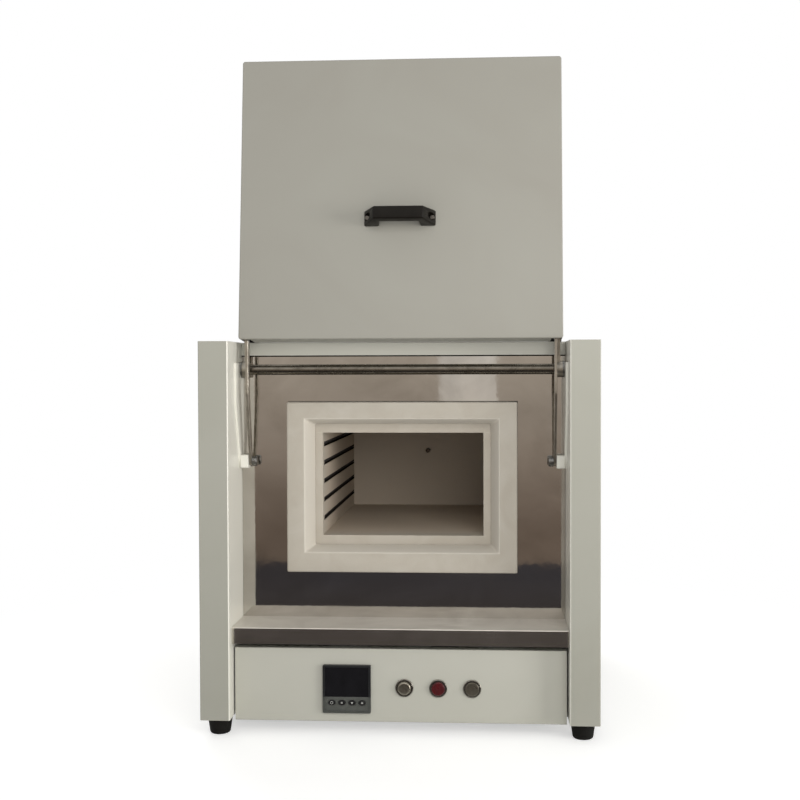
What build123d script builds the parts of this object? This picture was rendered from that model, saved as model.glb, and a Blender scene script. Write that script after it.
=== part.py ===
from build123d import *
import os
from math import atan2, cos, degrees, hypot, radians, sin

# Front-loading laboratory muffle furnace with a door that swings up on parallel arms.
# X is to the right, Y to the rear, Z up. The origin is on the floor under the middle.
os.makedirs("parts", exist_ok=True)

# Overall casing
casing_width = 590.0
casing_front = -320.0
casing_rear = 285.0
casing_height = 562.0
foot_height = 27.0
cheek_width = 44.5
cheek_flange = 16.0
sheet = 1.5
seam = 0.3
lid_depth = 20.0
pan_rim = 7.0
fold_radius = 2.0

# Front: polished plate, sill and control panel
front_plate_y = -223.0
sill_z = 162.5
sill_front = -304.0
sill_lip = 24.5
panel_front = -292.0
panel_bottom = 20.0
panel_top = 130.0
panel_gap = 2.5
panel_return = 15.0

# Heating chamber and its white fibre collar
chamber_width = 250.0
chamber_height = 160.0
chamber_centre_z = 369.0
chamber_rear = 200.0
board = 30.0
collar_width = 353.0
collar_height = 261.0
collar_centre_z = 366.5
collar_front = -247.0
collar_hole_gap = 1.0
collar_depth = 31.0
recess_taper = 0.09
mouth_width = 298.0
mouth_height = 205.0
groove_count = 5
groove_pitch = 29.0
groove_lift = 3.0
groove_height = 8.0
groove_depth = 12.0
groove_start = 14.0
element_diameter = 6.0
element_end_gap = 5.0
element_tail = 45.0

# Insulation, inner casing and what passes through its back
casing_gap = 2.5
insulation_rear = 255.0
insulation_bottom_gap = 4.0
bead_diameter = 14.0
bead_length = 12.0
probe_x = 18.0
probe_z = 394.0
probe_diameter = 8.0
probe_reach = 20.0
probe_head_diameter = 22.0
probe_head_length = 16.0

# Rear
louvre_length = 70.0
louvre_height = 6.0
louvre_pitch = 16.0
louvre_rows = 6
louvre_offset_x = 150.0
louvre_high_z = 520.0
louvre_low_z = 130.0
terminal_cover_width = 320.0
terminal_cover_height = 170.0
terminal_cover_depth = 33.5
terminal_lip = 12.0
terminal_flange = 14.0
terminal_screw_drop = 25.0
gland_x = -190.0
gland_z = 75.0
gland_flats = 24.0
gland_length = 26.0
gland_bore = 9.0
screw_head = 8.0
screw_shank = 4.0
screw_head_height = 2.4
screw_length = 8.0
screw_inset = 10.0

# Feet
foot_inset = 23.0
foot_front_y = -287.0
foot_rear_y = 255.0
foot_diameter = 38.0
foot_tip_diameter = 30.0
foot_screw_diameter = 6.0
foot_screw_head = 11.0
foot_recess = 9.0

# Lift linkage: two cranked lower arms, and two upper arms fixed to a cross shaft
pivot_y = -237.0
lower_pivot_z = 406.0
pivot_spacing = 141.0
arm_length = 219.0
lower_arm_lean = 5.7
upper_arm_lean = 4.05
arm_swing = 156.0
bend_forward = 22.0
bend_height = 105.0
arm_width = 12.5
arm_thickness = 4.0
arm_gap = 1.5
shaft_diameter = 16.0
shaft_reach = 19.5
hub_diameter = 25.0
hub_length = 8.0
hub_step = 0.4
bearing_flange = 2.5
bearing_sleeve = 22.0
bearing_length = 12.0
pin_diameter = 7.0
running_fit = 0.05
side_play = 0.4
slot_width = 11.0
slot_length = 15.0
slot_forward = 7.3
slot_rise = 144.3
bracket_size = 20.0
wall_plate = 3.0
wall_plate_depth = 51.0
wall_plate_foot = 19.0
wall_plate_taper = 90.0
bolt_head = 15.0
bolt_head_length = 7.5
cassette_diameter = 40.0
cassette_length = 20.0

# Door, given as it closes; the arms raise it and let it lean back
door_lean = 6.0
door_side_gap = 7.0
door_height = 430.0
door_pan_depth = 40.0
door_front = -322.5
door_sill_gap = 2.5
door_plate = 1.5
plug_gap = 1.5
plug_reach = 21.0
plug_clearance = 3.5
bracket_thickness = 3.0
bracket_arm_gap = 2.2
bracket_overlap = 16.0
handle_z = 182.0
handle_length = 110.0
handle_height = 19.0
handle_foot_height = 25.0
handle_stand_off = 42.0
handle_pad = 5.0
handle_grip_length = 84.0
handle_bar = 17.0
handle_screw_inset = 6.5

# Controls
controller_size = 72.0
controller_x = -79.0
controller_z = 70.0
controller_cutout = 68.0
controller_bezel_depth = 6.0
controller_case_depth = 78.0
controller_rim = 3.5
controller_strip = 21.0
glass_depth = 1.6
key_width = 9.0
key_height = 5.0
key_pitch = 15.2
key_count = 4
key_rise = 1.2
button_pitch = 50.5
button_first_x = 7.0
button_z = 72.0
button_bezel_diameter = 27.0
button_hole = 22.4
button_cap_diameter = 20.0
button_gap = 0.4
button_bezel_depth = 3.0
button_body_depth = 26.0
button_wall = 1.5

# Electrical bay
relay_x = 60.0
relay_y = -120.0
relay_width = 46.0
relay_length = 60.0
relay_height = 28.0
heatsink_width = 100.0
heatsink_length = 90.0
heatsink_base = 6.0
heatsink_height = 34.0
fin_count = 9
fin_thickness = 2.0
terminal_x = -120.0
terminal_pitch = 10.0
terminal_count = 6

# Places that follow from the sizes above
casing_top = foot_height + casing_height
half_width = casing_width / 2
bay = half_width - cheek_width
fitted = bay - seam
plate_top = casing_top - lid_depth
upper_pivot_z = lower_pivot_z + pivot_spacing
lower_lean = radians(lower_arm_lean)
lower_lean_closed = radians(lower_arm_lean + arm_swing)
upper_lean = radians(upper_arm_lean)
raised_pin = (pivot_y - arm_length * sin(lower_lean), lower_pivot_z + arm_length * cos(lower_lean))
closed_pin = (
    pivot_y - arm_length * sin(lower_lean_closed),
    lower_pivot_z + arm_length * cos(lower_lean_closed),
)
upper_pin = (pivot_y - arm_length * sin(upper_lean), upper_pivot_z + arm_length * cos(upper_lean))
slot_centre = (closed_pin[0] - slot_forward, closed_pin[1] + slot_rise)
link_face = bay - wall_plate
hub_inner_x = link_face - bearing_flange - side_play - hub_length
upper_arm_x = hub_inner_x + hub_step
lower_arm_x = upper_arm_x - arm_gap - arm_thickness
bracket_x = lower_arm_x - bracket_arm_gap - bracket_thickness
shaft_half_length = bay + shaft_reach
door_width = 2 * (bay - door_side_gap)
door_back_half_width = bracket_x - seam
door_bottom = sill_z + door_sill_gap
door_top = door_bottom + door_height
door_rear = door_front + door_pan_depth
door_middle = (door_bottom + door_top) / 2
raised = Pos(0, *raised_pin) * Rot(X=-door_lean) * Pos(0, -closed_pin[0], -closed_pin[1])
collar_rear = collar_front + collar_depth
groove_centre_z = chamber_centre_z + groove_lift
groove_zs = [groove_centre_z + (i - (groove_count - 1) / 2) * groove_pitch for i in range(groove_count)]
element_x = chamber_width / 2 + groove_depth - element_diameter
insulation_half = fitted - casing_gap
insulation_bottom = sill_z + insulation_bottom_gap
insulation_top = plate_top - casing_gap
chamber_bottom = chamber_centre_z - chamber_height / 2
chamber_top = chamber_centre_z + chamber_height / 2
muffle_half = chamber_width / 2 + board
muffle_rear = chamber_rear + board
casing_back = insulation_rear + sheet
foot_x = half_width - foot_inset
sides = (("left", -1), ("right", 1))
casing_middle_z = foot_height + casing_height / 2
cover_screw_x = half_width - screw_inset
cover_screw_rise = casing_height / 2 - screw_inset
cover_screws = [
    (s * cover_screw_x, casing_middle_z + i * cover_screw_rise) for s in (-1, 1) for i in (-1, 0, 1)
]
flange_screw_x = (terminal_cover_width + terminal_flange) / 2
flange_screw_rise = terminal_cover_height / 2 - terminal_screw_drop
flange_screws = [
    (s * flange_screw_x, chamber_centre_z + i * flange_screw_rise) for s in (-1, 1) for i in (-1, 1)
]


def across(y):
    """Upright plane facing the front: its x is X and its y is Z."""
    return Plane(origin=(0, y, 0), x_dir=(1, 0, 0), z_dir=(0, -1, 0))


def along(x):
    """Upright plane facing right: its x is Y and its y is Z."""
    return Plane(origin=(x, 0, 0), x_dir=(0, 1, 0), z_dir=(1, 0, 0))


def bar(start, end):
    """Round-ended bar of an arm between two points of the sketch."""
    run, rise = end[0] - start[0], end[1] - start[1]
    with Locations(((start[0] + end[0]) / 2, (start[1] + end[1]) / 2)):
        SlotCenterToCenter(hypot(run, rise), arm_width, rotation=degrees(atan2(rise, run)))


# Cheeks: closed side columns of the casing, flanged at the back where the rear cover is screwed on.
for side_name, side in sides:
    with BuildPart() as cheek:
        with BuildSketch(Plane.XY.offset(foot_height)):
            with Locations((side * (half_width - cheek_width / 2), (casing_front + casing_rear) / 2)):
                Rectangle(cheek_width, casing_rear - casing_front)
        extrude(amount=casing_height)
        front_uprights = cheek.edges().filter_by(Axis.Z).group_by(Axis.Y)[0]
        fillet(front_uprights, radius=fold_radius)
        offset(amount=-sheet, openings=cheek.faces().sort_by(Axis.Y)[-1])
        with BuildSketch(along(side * bay)):
            with Locations((pivot_y, upper_pivot_z)):
                Circle(bearing_sleeve / 2)
            with Locations((pivot_y, lower_pivot_z)):
                Circle(pin_diameter / 2)
        extrude(amount=side * sheet, mode=Mode.SUBTRACT)
        with BuildSketch(Plane.XY.offset(foot_height)):
            with Locations((side * foot_x, foot_front_y), (side * foot_x, foot_rear_y)):
                Circle(foot_screw_diameter / 2)
        extrude(amount=sheet, mode=Mode.SUBTRACT)
        with BuildSketch(across(casing_rear)):
            with Locations((side * (half_width - cheek_width / 2), casing_middle_z)):
                Rectangle(cheek_width, casing_height)
                Rectangle(
                    cheek_width - 2 * cheek_flange, casing_height - 2 * cheek_flange, mode=Mode.SUBTRACT
                )
            with Locations(*[(x, z) for x, z in cover_screws if x * side > 0]):
                Circle(screw_shank / 2, mode=Mode.SUBTRACT)
        extrude(amount=sheet)
    cheek.part.label = f"{side_name}_cheek"
    export_step(cheek.part, f"parts/{side_name}_cheek.step")

# Top cover: a folded lid between the cheeks, with its front flange above the polished plate.
with BuildPart() as top_cover:
    with BuildSketch(Plane.XY.offset(plate_top)):
        with Locations((0, (front_plate_y - sheet + casing_rear) / 2)):
            Rectangle(2 * fitted, casing_rear - front_plate_y + sheet)
    extrude(amount=lid_depth)
    fillet(top_cover.edges().filter_by(Axis.X).group_by(Axis.Z)[-1], radius=fold_radius)
    offset(amount=-sheet, openings=top_cover.faces().sort_by(Axis.Z)[0])
top_cover.part.label = "top_cover"
export_step(top_cover.part, "parts/top_cover.step")

# Base pan: the floor of the electrical bay, turned up all round.
pan_front = panel_front + panel_return + 2 * seam
with BuildPart() as base_pan:
    with BuildSketch(Plane.XY.offset(foot_height)):
        with Locations((0, (pan_front + casing_rear) / 2)):
            Rectangle(2 * fitted, casing_rear - pan_front)
    extrude(amount=pan_rim)
    offset(amount=-sheet, openings=base_pan.faces().sort_by(Axis.Z)[-1])
base_pan.part.label = "base_pan"
export_step(base_pan.part, "parts/base_pan.step")

# Rear cover: one sheet over the whole back, with louvres and an opening behind the terminals.
with BuildPart() as rear_cover:
    with BuildSketch(across(casing_rear)):
        with Locations((0, casing_middle_z)):
            Rectangle(casing_width, casing_height)
        for louvre_z in (louvre_high_z, louvre_low_z):
            for louvre_x in (-louvre_offset_x, 0, louvre_offset_x):
                with Locations((louvre_x, louvre_z)):
                    with GridLocations(louvre_length, louvre_pitch, 1, louvre_rows):
                        SlotOverall(louvre_length, louvre_height, mode=Mode.SUBTRACT)
        with Locations((-element_x, chamber_centre_z), (element_x, chamber_centre_z)):
            Rectangle(2 * terminal_lip, terminal_cover_height - 2 * terminal_lip, mode=Mode.SUBTRACT)
        with Locations((probe_x, probe_z)):
            Circle(probe_head_diameter / 2 + 2 * sheet, mode=Mode.SUBTRACT)
        with Locations((gland_x, gland_z)):
            Circle(gland_flats / 2 - sheet, mode=Mode.SUBTRACT)
        with Locations(*cover_screws, *flange_screws):
            Circle(screw_shank / 2, mode=Mode.SUBTRACT)
    extrude(amount=-sheet)
rear_cover.part.label = "rear_cover"
export_step(rear_cover.part, "parts/rear_cover.step")

# Terminal cover: a shallow box over the element and probe ends, slotted on top and below.
cover_y = casing_rear + sheet
with BuildPart() as terminal_cover:
    with BuildSketch(across(cover_y)):
        with Locations((0, chamber_centre_z)):
            RectangleRounded(terminal_cover_width, terminal_cover_height, 2 * fold_radius)
    extrude(amount=-terminal_cover_depth)
    fillet(terminal_cover.edges().group_by(Axis.Y)[-1], radius=fold_radius)
    with BuildSketch(across(cover_y)):
        with Locations((0, chamber_centre_z)):
            RectangleRounded(
                terminal_cover_width - 2 * sheet,
                terminal_cover_height - 2 * sheet,
                2 * fold_radius - sheet,
            )
    extrude(amount=-(terminal_cover_depth - sheet), mode=Mode.SUBTRACT)
    with BuildSketch(across(cover_y)):
        for s in (-1, 1):
            with Locations((s * (flange_screw_x - sheet / 2), chamber_centre_z)):
                Rectangle(terminal_flange + sheet, terminal_cover_height - 4 * fold_radius)
        with Locations(*flange_screws):
            Circle(screw_shank / 2, mode=Mode.SUBTRACT)
    extrude(amount=-sheet)
    with BuildSketch(Plane.XY.offset(chamber_centre_z - terminal_cover_height)):
        with Locations((0, cover_y + terminal_cover_depth / 2)):
            with GridLocations(louvre_pitch, louvre_height, 13, 1):
                SlotOverall(terminal_cover_depth / 2, louvre_height, rotation=90)
    extrude(amount=2 * terminal_cover_height, mode=Mode.SUBTRACT)
terminal_cover.part.label = "terminal_cover"
export_step(terminal_cover.part, "parts/terminal_cover.step")

# Rear screws: pan-head screws that hold the rear cover to the cheeks and the terminal cover to it.
with BuildPart() as rear_screws:
    for places, seat_y in ((cover_screws, cover_y), (flange_screws, cover_y + sheet)):
        with BuildSketch(across(seat_y)):
            with Locations(*places):
                Circle(screw_head / 2)
        extrude(amount=-screw_head_height)
    outer_rims = rear_screws.edges().filter_by(GeomType.CIRCLE)
    rim_ys = (cover_y + screw_head_height, cover_y + sheet + screw_head_height)
    chamfer([e for e in outer_rims if round(e.center().Y, 3) in rim_ys], length=screw_head_height / 2)
    with BuildSketch(across(cover_y + sheet)):
        with Locations(*flange_screws):
            Circle(screw_shank / 2)
    with BuildSketch(across(cover_y + sheet)):
        with Locations(*cover_screws):
            Circle(screw_shank / 2)
    extrude(amount=screw_length)
rear_screws.part.label = "rear_screws"
export_step(rear_screws.part, "parts/rear_screws.step")

# Cable gland: hexagon body and domed nut with the bore that a mains lead passes through.
with BuildPart() as cable_gland:
    with BuildSketch(across(cover_y)):
        with Locations((gland_x, gland_z)):
            RegularPolygon(gland_flats / 2, 6, major_radius=False)
    extrude(amount=-gland_length / 3)
    with BuildSketch(across(cover_y + gland_length / 3)):
        with Locations((gland_x, gland_z)):
            Circle(gland_flats / 2 - sheet)
    extrude(amount=-gland_length * 2 / 3)
    fillet(cable_gland.edges().group_by(Axis.Y)[-1], radius=4 * sheet)
    with BuildSketch(across(cover_y)):
        with Locations((gland_x, gland_z)):
            Circle(gland_flats / 2 - sheet)
    extrude(amount=gland_length / 3)
    with BuildSketch(across(cover_y + gland_length)):
        with Locations((gland_x, gland_z)):
            Circle(gland_bore / 2)
    extrude(amount=2 * gland_length, mode=Mode.SUBTRACT)
cable_gland.part.label = "cable_gland"
export_step(cable_gland.part, "parts/cable_gland.step")

# Front plate: mirror-polished sheet with the cut-out that the collar stands in.
with BuildPart() as front_plate:
    with BuildSketch(across(front_plate_y)):
        with Locations((0, (sill_z + plate_top) / 2)):
            Rectangle(2 * fitted, plate_top - sill_z)
        with Locations((0, collar_centre_z)):
            Rectangle(
                collar_width + 2 * collar_hole_gap,
                collar_height + 2 * collar_hole_gap,
                mode=Mode.SUBTRACT,
            )
    extrude(amount=-sheet)
front_plate.part.label = "front_plate"
export_step(front_plate.part, "parts/front_plate.step")

# Sill: polished shelf below the door, folded down at the front.
with BuildPart() as sill_plate:
    with BuildSketch(along(-fitted)):
        with BuildLine():
            Polyline(
                (front_plate_y + sheet, sill_z),
                (sill_front, sill_z),
                (sill_front, sill_z - sill_lip),
                (sill_front + sheet, sill_z - sill_lip),
                (sill_front + sheet, sill_z - sheet),
                (front_plate_y + sheet, sill_z - sheet),
                close=True,
            )
        make_face()
    extrude(amount=2 * fitted)
    top_fold = sill_plate.edges().filter_by(Axis.X).group_by(Axis.Z)[-1].sort_by(Axis.Y)[0]
    fillet(top_fold, radius=sheet)
sill_plate.part.label = "sill_plate"
export_step(sill_plate.part, "parts/sill_plate.step")

# Control panel: painted channel with holes for the controller and three push buttons.
button_xs = [button_first_x + i * button_pitch for i in range(3)]
with BuildPart() as control_panel:
    with BuildSketch(along(-(bay - panel_gap))):
        with Locations((panel_front + panel_return / 2, (panel_bottom + panel_top) / 2)):
            Rectangle(panel_return, panel_top - panel_bottom)
        with Locations((panel_front + panel_return / 2 + sheet, (panel_bottom + panel_top) / 2)):
            Rectangle(panel_return, panel_top - panel_bottom - 2 * sheet, mode=Mode.SUBTRACT)
    extrude(amount=2 * (bay - panel_gap))
    outer_folds = control_panel.edges().filter_by(Axis.X).group_by(Axis.Y)[0]
    fillet(outer_folds, radius=sheet)
    with BuildSketch(across(panel_front)):
        with Locations((controller_x, controller_z)):
            Rectangle(controller_cutout, controller_cutout)
        with Locations(*[(x, button_z) for x in button_xs]):
            Circle(button_hole / 2)
    extrude(amount=-2 * sheet, mode=Mode.SUBTRACT)
control_panel.part.label = "control_panel"
export_step(control_panel.part, "parts/control_panel.step")

# Collar: four mitred fibre boards round the chamber mouth, bevelled inwards as a seat for the plug.
seat_rear = 1 - recess_taper
with BuildPart() as collar:
    with BuildSketch(across(collar_front)):
        with Locations((0, collar_centre_z)):
            RectangleRounded(collar_width, collar_height, 2 * fold_radius)
    extrude(amount=-collar_depth)
    chamfer(collar.edges().group_by(Axis.Y)[0], length=fold_radius)
    with BuildSketch(across(collar_front)):
        with Locations((0, chamber_centre_z)):
            Rectangle(mouth_width, mouth_height)
    with BuildSketch(across(collar_rear)):
        with Locations((0, chamber_centre_z)):
            Rectangle(mouth_width * seat_rear, mouth_height * seat_rear)
    loft(mode=Mode.SUBTRACT)
    for s in (-1, 1):
        mitre = Plane(origin=(0, 0, chamber_centre_z), x_dir=(0, 1, 0), z_dir=(mouth_height, 0, s * mouth_width))
        split(bisect_by=mitre, keep=Keep.BOTH)
collar.part.label = "muffle_collar"
export_step(collar.part, "parts/muffle_collar.step")

# Chamber boards: floor and roof, then grooved side walls and the back between them.
for board_name, board_z in (("chamber_floor", chamber_bottom - board), ("chamber_roof", chamber_top)):
    with BuildPart() as flat_board:
        with BuildSketch(Plane.XY.offset(board_z)):
            with Locations((0, (collar_rear + muffle_rear) / 2)):
                Rectangle(2 * muffle_half, muffle_rear - collar_rear)
        extrude(amount=board)
    flat_board.part.label = board_name
    export_step(flat_board.part, f"parts/{board_name}.step")

for side_name, side in sides:
    with BuildPart() as side_wall:
        with BuildSketch(across(collar_rear)):
            with Locations((side * (chamber_width + board) / 2, chamber_centre_z)):
                Rectangle(board, chamber_height)
        extrude(amount=-(muffle_rear - collar_rear))
        with BuildSketch(across(collar_rear + groove_start)):
            for groove_z in groove_zs:
                with Locations((side * (chamber_width + groove_depth) / 2, groove_z)):
                    Rectangle(groove_depth, groove_height)
        extrude(amount=-(muffle_rear - collar_rear), mode=Mode.SUBTRACT)
    side_wall.part.label = f"chamber_{side_name}_wall"
    export_step(side_wall.part, f"parts/chamber_{side_name}_wall.step")

with BuildPart() as rear_wall:
    with BuildSketch(across(chamber_rear)):
        with Locations((0, chamber_centre_z)):
            Rectangle(chamber_width, chamber_height)
        with Locations((probe_x, probe_z)):
            Circle(probe_diameter / 2, mode=Mode.SUBTRACT)
    extrude(amount=-board)
rear_wall.part.label = "chamber_rear_wall"
export_step(rear_wall.part, "parts/chamber_rear_wall.step")

# Heating elements: one rod in each groove of both walls, with tails out through the back.
element_places = [(s * element_x, z) for s in (-1, 1) for z in groove_zs]
element_front = collar_rear + groove_start + element_end_gap
with BuildPart() as heating_elements:
    with BuildSketch(across(element_front)):
        with Locations(*element_places):
            Circle(element_diameter / 2)
    extrude(amount=-(muffle_rear + element_tail - element_front))
heating_elements.part.label = "heating_elements"
export_step(heating_elements.part, "parts/heating_elements.step")

# Insulation: fibre boards round the muffle, and the back board that the tails pass through.
for name, low, high in (
    ("bottom_insulation", insulation_bottom, chamber_bottom - board),
    ("top_insulation", chamber_top + board, insulation_top),
):
    with BuildPart() as slab:
        with BuildSketch(Plane.XY.offset(low)):
            with Locations((0, (collar_rear + insulation_rear) / 2)):
                Rectangle(2 * insulation_half, insulation_rear - collar_rear)
        extrude(amount=high - low)
    slab.part.label = name
    export_step(slab.part, f"parts/{name}.step")

slab_width = insulation_half - muffle_half
with BuildPart() as side_insulation:
    with BuildSketch(Plane.XY.offset(chamber_bottom - board)):
        with Locations((0, (collar_rear + insulation_rear) / 2)):
            with GridLocations(2 * muffle_half + slab_width, 1, 2, 1):
                Rectangle(slab_width, insulation_rear - collar_rear)
    extrude(amount=chamber_height + 2 * board)
side_insulation.part.label = "side_insulation"
export_step(side_insulation.part, "parts/side_insulation.step")

with BuildPart() as rear_insulation:
    with BuildSketch(across(muffle_rear)):
        with Locations((0, chamber_centre_z)):
            Rectangle(2 * muffle_half, chamber_height + 2 * board)
        with Locations(*element_places):
            Circle(element_diameter / 2, mode=Mode.SUBTRACT)
        with Locations((probe_x, probe_z)):
            Circle(probe_diameter / 2, mode=Mode.SUBTRACT)
    extrude(amount=-(insulation_rear - muffle_rear))
rear_insulation.part.label = "rear_insulation"
export_step(rear_insulation.part, "parts/rear_insulation.step")

# Inner casing: sheet box round the insulation, open to the front.
with BuildPart() as inner_casing:
    with BuildSketch(across(collar_rear)):
        with Locations((0, (insulation_bottom + insulation_top) / 2)):
            Rectangle(2 * (insulation_half + sheet), insulation_top - insulation_bottom + 2 * sheet)
    extrude(amount=-(casing_back - collar_rear))
    offset(amount=-sheet, openings=inner_casing.faces().sort_by(Axis.Y)[0])
    with BuildSketch(across(insulation_rear)):
        with Locations(*element_places):
            Circle(element_diameter / 2)
        with Locations((probe_x, probe_z)):
            Circle(probe_diameter / 2)
    extrude(amount=-sheet, mode=Mode.SUBTRACT)
inner_casing.part.label = "inner_casing"
export_step(inner_casing.part, "parts/inner_casing.step")

# Terminal beads: ceramic bushes where the element tails leave the inner casing.
with BuildPart() as terminal_beads:
    with BuildSketch(across(casing_back)):
        with Locations(*element_places):
            Circle(bead_diameter / 2)
    extrude(amount=-bead_length)
    chamfer(terminal_beads.edges().group_by(Axis.Y)[-1], length=bead_length / 6)
    with BuildSketch(across(casing_back)):
        with Locations(*element_places):
            Circle(element_diameter / 2)
    extrude(amount=-bead_length, mode=Mode.SUBTRACT)
terminal_beads.part.label = "terminal_beads"
export_step(terminal_beads.part, "parts/terminal_beads.step")

# Thermocouple: sheathed probe with a round head on the back of the inner casing.
probe_length = casing_back - chamber_rear + probe_reach
with BuildPart() as thermocouple:
    with BuildSketch(across(casing_back)):
        with Locations((probe_x, probe_z)):
            Circle(probe_diameter / 2)
    extrude(amount=probe_length)
    fillet(thermocouple.edges().group_by(Axis.Y)[0], radius=probe_diameter / 4)
    with BuildSketch(across(casing_back)):
        with Locations((probe_x, probe_z)):
            Circle(probe_head_diameter / 2)
    extrude(amount=-probe_head_length)
    fillet(thermocouple.edges().group_by(Axis.Y)[-1], radius=probe_diameter / 4)
thermocouple.part.label = "thermocouple"
export_step(thermocouple.part, "parts/thermocouple.step")

# Rubber feet: tapered pads with a rounded tread and a recess for the screw head.
seated = (Align.CENTER, Align.CENTER, Align.MIN)
foot_places = [(s * foot_x, y) for s in (-1, 1) for y in (foot_front_y, foot_rear_y)]
with BuildPart() as rubber_feet:
    with Locations(*foot_places):
        Cone(foot_tip_diameter / 2, foot_diameter / 2, foot_height, align=seated)
    fillet(rubber_feet.edges().group_by(Axis.Z)[0], radius=2 * fold_radius)
    with BuildSketch(Plane.XY):
        with Locations(*foot_places):
            Circle(foot_screw_head / 2 + seam)
    extrude(amount=foot_recess, mode=Mode.SUBTRACT)
    with BuildSketch(Plane.XY):
        with Locations(*foot_places):
            Circle(foot_screw_diameter / 2)
    extrude(amount=foot_height, mode=Mode.SUBTRACT)
rubber_feet.part.label = "rubber_feet"
export_step(rubber_feet.part, "parts/rubber_feet.step")

# Foot screws: up through each foot and the bottom of its cheek, with a nut inside.
with BuildPart() as foot_screws:
    with BuildSketch(Plane.XY.offset(foot_recess)):
        with Locations(*foot_places):
            Circle(foot_screw_head / 2)
    extrude(amount=-foot_screw_diameter / 2)
    with BuildSketch(Plane.XY.offset(foot_recess)):
        with Locations(*foot_places):
            Circle(foot_screw_diameter / 2)
    extrude(amount=foot_height + sheet + foot_screw_diameter - foot_recess)
    with BuildSketch(Plane.XY.offset(foot_height + sheet)):
        with Locations(*foot_places):
            RegularPolygon(foot_screw_head / 2, 6)
    extrude(amount=foot_screw_diameter / 2 + sheet)
foot_screws.part.label = "foot_screws"
export_step(foot_screws.part, "parts/foot_screws.step")

# Wall plates: one on each cheek, carrying the shaft bearing and, on a block, the lower pivot.
bracket_face = lower_arm_x + arm_thickness + side_play
plate_back = front_plate_y - seam
with BuildPart() as pivot_brackets:
    for side in (-1, 1):
        with BuildSketch(along(side * link_face)):
            with BuildLine():
                Polyline(
                    (plate_back, upper_pivot_z + bracket_size / 2),
                    (plate_back - wall_plate_depth, upper_pivot_z + bracket_size / 2),
                    (plate_back - wall_plate_depth, lower_pivot_z + wall_plate_taper),
                    (plate_back - wall_plate_foot, lower_pivot_z - bracket_size / 2),
                    (plate_back, lower_pivot_z - bracket_size / 2),
                    close=True,
                )
            make_face()
            with Locations((pivot_y, upper_pivot_z)):
                Circle(bearing_sleeve / 2, mode=Mode.SUBTRACT)
        extrude(amount=side * wall_plate)
        with BuildSketch(along(side * bracket_face)):
            with Locations((pivot_y, lower_pivot_z)):
                RectangleRounded(bracket_size, bracket_size, fold_radius)
        extrude(amount=side * (link_face - bracket_face))
        with BuildSketch(along(side * bracket_face)):
            with Locations((pivot_y, lower_pivot_z)):
                Circle(pin_diameter / 2)
        extrude(amount=side * (bay - bracket_face), mode=Mode.SUBTRACT)
pivot_brackets.part.label = "pivot_brackets"
export_step(pivot_brackets.part, "parts/pivot_brackets.step")

# Shaft bearings: flanged bushes through the wall plates and the cheeks.
with BuildPart() as shaft_bearings:
    for side in (-1, 1):
        with BuildSketch(along(side * link_face)):
            with Locations((pivot_y, upper_pivot_z)):
                Circle(hub_diameter / 2)
        extrude(amount=-side * bearing_flange)
        with BuildSketch(along(side * link_face)):
            with Locations((pivot_y, upper_pivot_z)):
                Circle(bearing_sleeve / 2)
        extrude(amount=side * (bearing_length - bearing_flange))
        with BuildSketch(along(side * (link_face - bearing_flange))):
            with Locations((pivot_y, upper_pivot_z)):
                Circle(shaft_diameter / 2 + running_fit)
        extrude(amount=side * bearing_length, mode=Mode.SUBTRACT)
shaft_bearings.part.label = "shaft_bearings"
export_step(shaft_bearings.part, "parts/shaft_bearings.step")

# Spring cassettes: round housings in the cheeks for the springs that balance the door.
cassette_x = link_face + bearing_length - bearing_flange + seam
with BuildPart() as spring_cassettes:
    for side in (-1, 1):
        with BuildSketch(along(side * cassette_x)):
            with Locations((pivot_y, upper_pivot_z)):
                Circle(cassette_diameter / 2)
        extrude(amount=side * cassette_length)
        with BuildSketch(along(side * cassette_x)):
            with Locations((pivot_y, upper_pivot_z)):
                Circle(shaft_diameter / 2 + 2 * side_play)
        extrude(amount=side * (shaft_half_length + side_play - cassette_x), mode=Mode.SUBTRACT)
spring_cassettes.part.label = "spring_cassettes"
export_step(spring_cassettes.part, "parts/spring_cassettes.step")

# Pivot bolts: shouldered bolts with low round heads, through block, wall plate and cheek.
head_face = lower_arm_x - side_play
with BuildPart() as pivot_bolts:
    for side in (-1, 1):
        with BuildSketch(along(side * head_face)):
            with Locations((pivot_y, lower_pivot_z)):
                Circle(bolt_head / 2)
        extrude(amount=-side * bolt_head_length)
    outer_rims = pivot_bolts.edges().filter_by(GeomType.CIRCLE)
    fillet([e for e in outer_rims if abs(e.center().X) < head_face - sheet], radius=fold_radius)
    for side in (-1, 1):
        with BuildSketch(along(side * head_face)):
            with Locations((pivot_y, lower_pivot_z)):
                Circle(pin_diameter / 2)
        extrude(amount=side * (bay + 4 * sheet - head_face))
pivot_bolts.part.label = "pivot_bolts"
export_step(pivot_bolts.part, "parts/pivot_bolts.step")

# Lower arms: flat bars from the pivot bolts to the door, cranked forward past the cross shaft.
lower_pivot = (pivot_y, lower_pivot_z)
arm_bend = (pivot_y - bend_forward, lower_pivot_z + bend_height)
for side_name, side in sides:
    with BuildPart() as lower_arm:
        with BuildSketch(along(side * lower_arm_x)):
            bar(lower_pivot, arm_bend)
            bar(arm_bend, raised_pin)
            with Locations(lower_pivot, raised_pin):
                Circle(pin_diameter / 2 + running_fit, mode=Mode.SUBTRACT)
        extrude(amount=side * arm_thickness)
        long_edges = lower_arm.edges().filter_by(GeomType.LINE).filter_by(Axis.X, reverse=True)
        chamfer(long_edges, length=arm_thickness / 8)
    lower_arm.part.label = f"{side_name}_lower_arm"
    export_step(lower_arm.part, f"parts/{side_name}_lower_arm.step")

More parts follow.
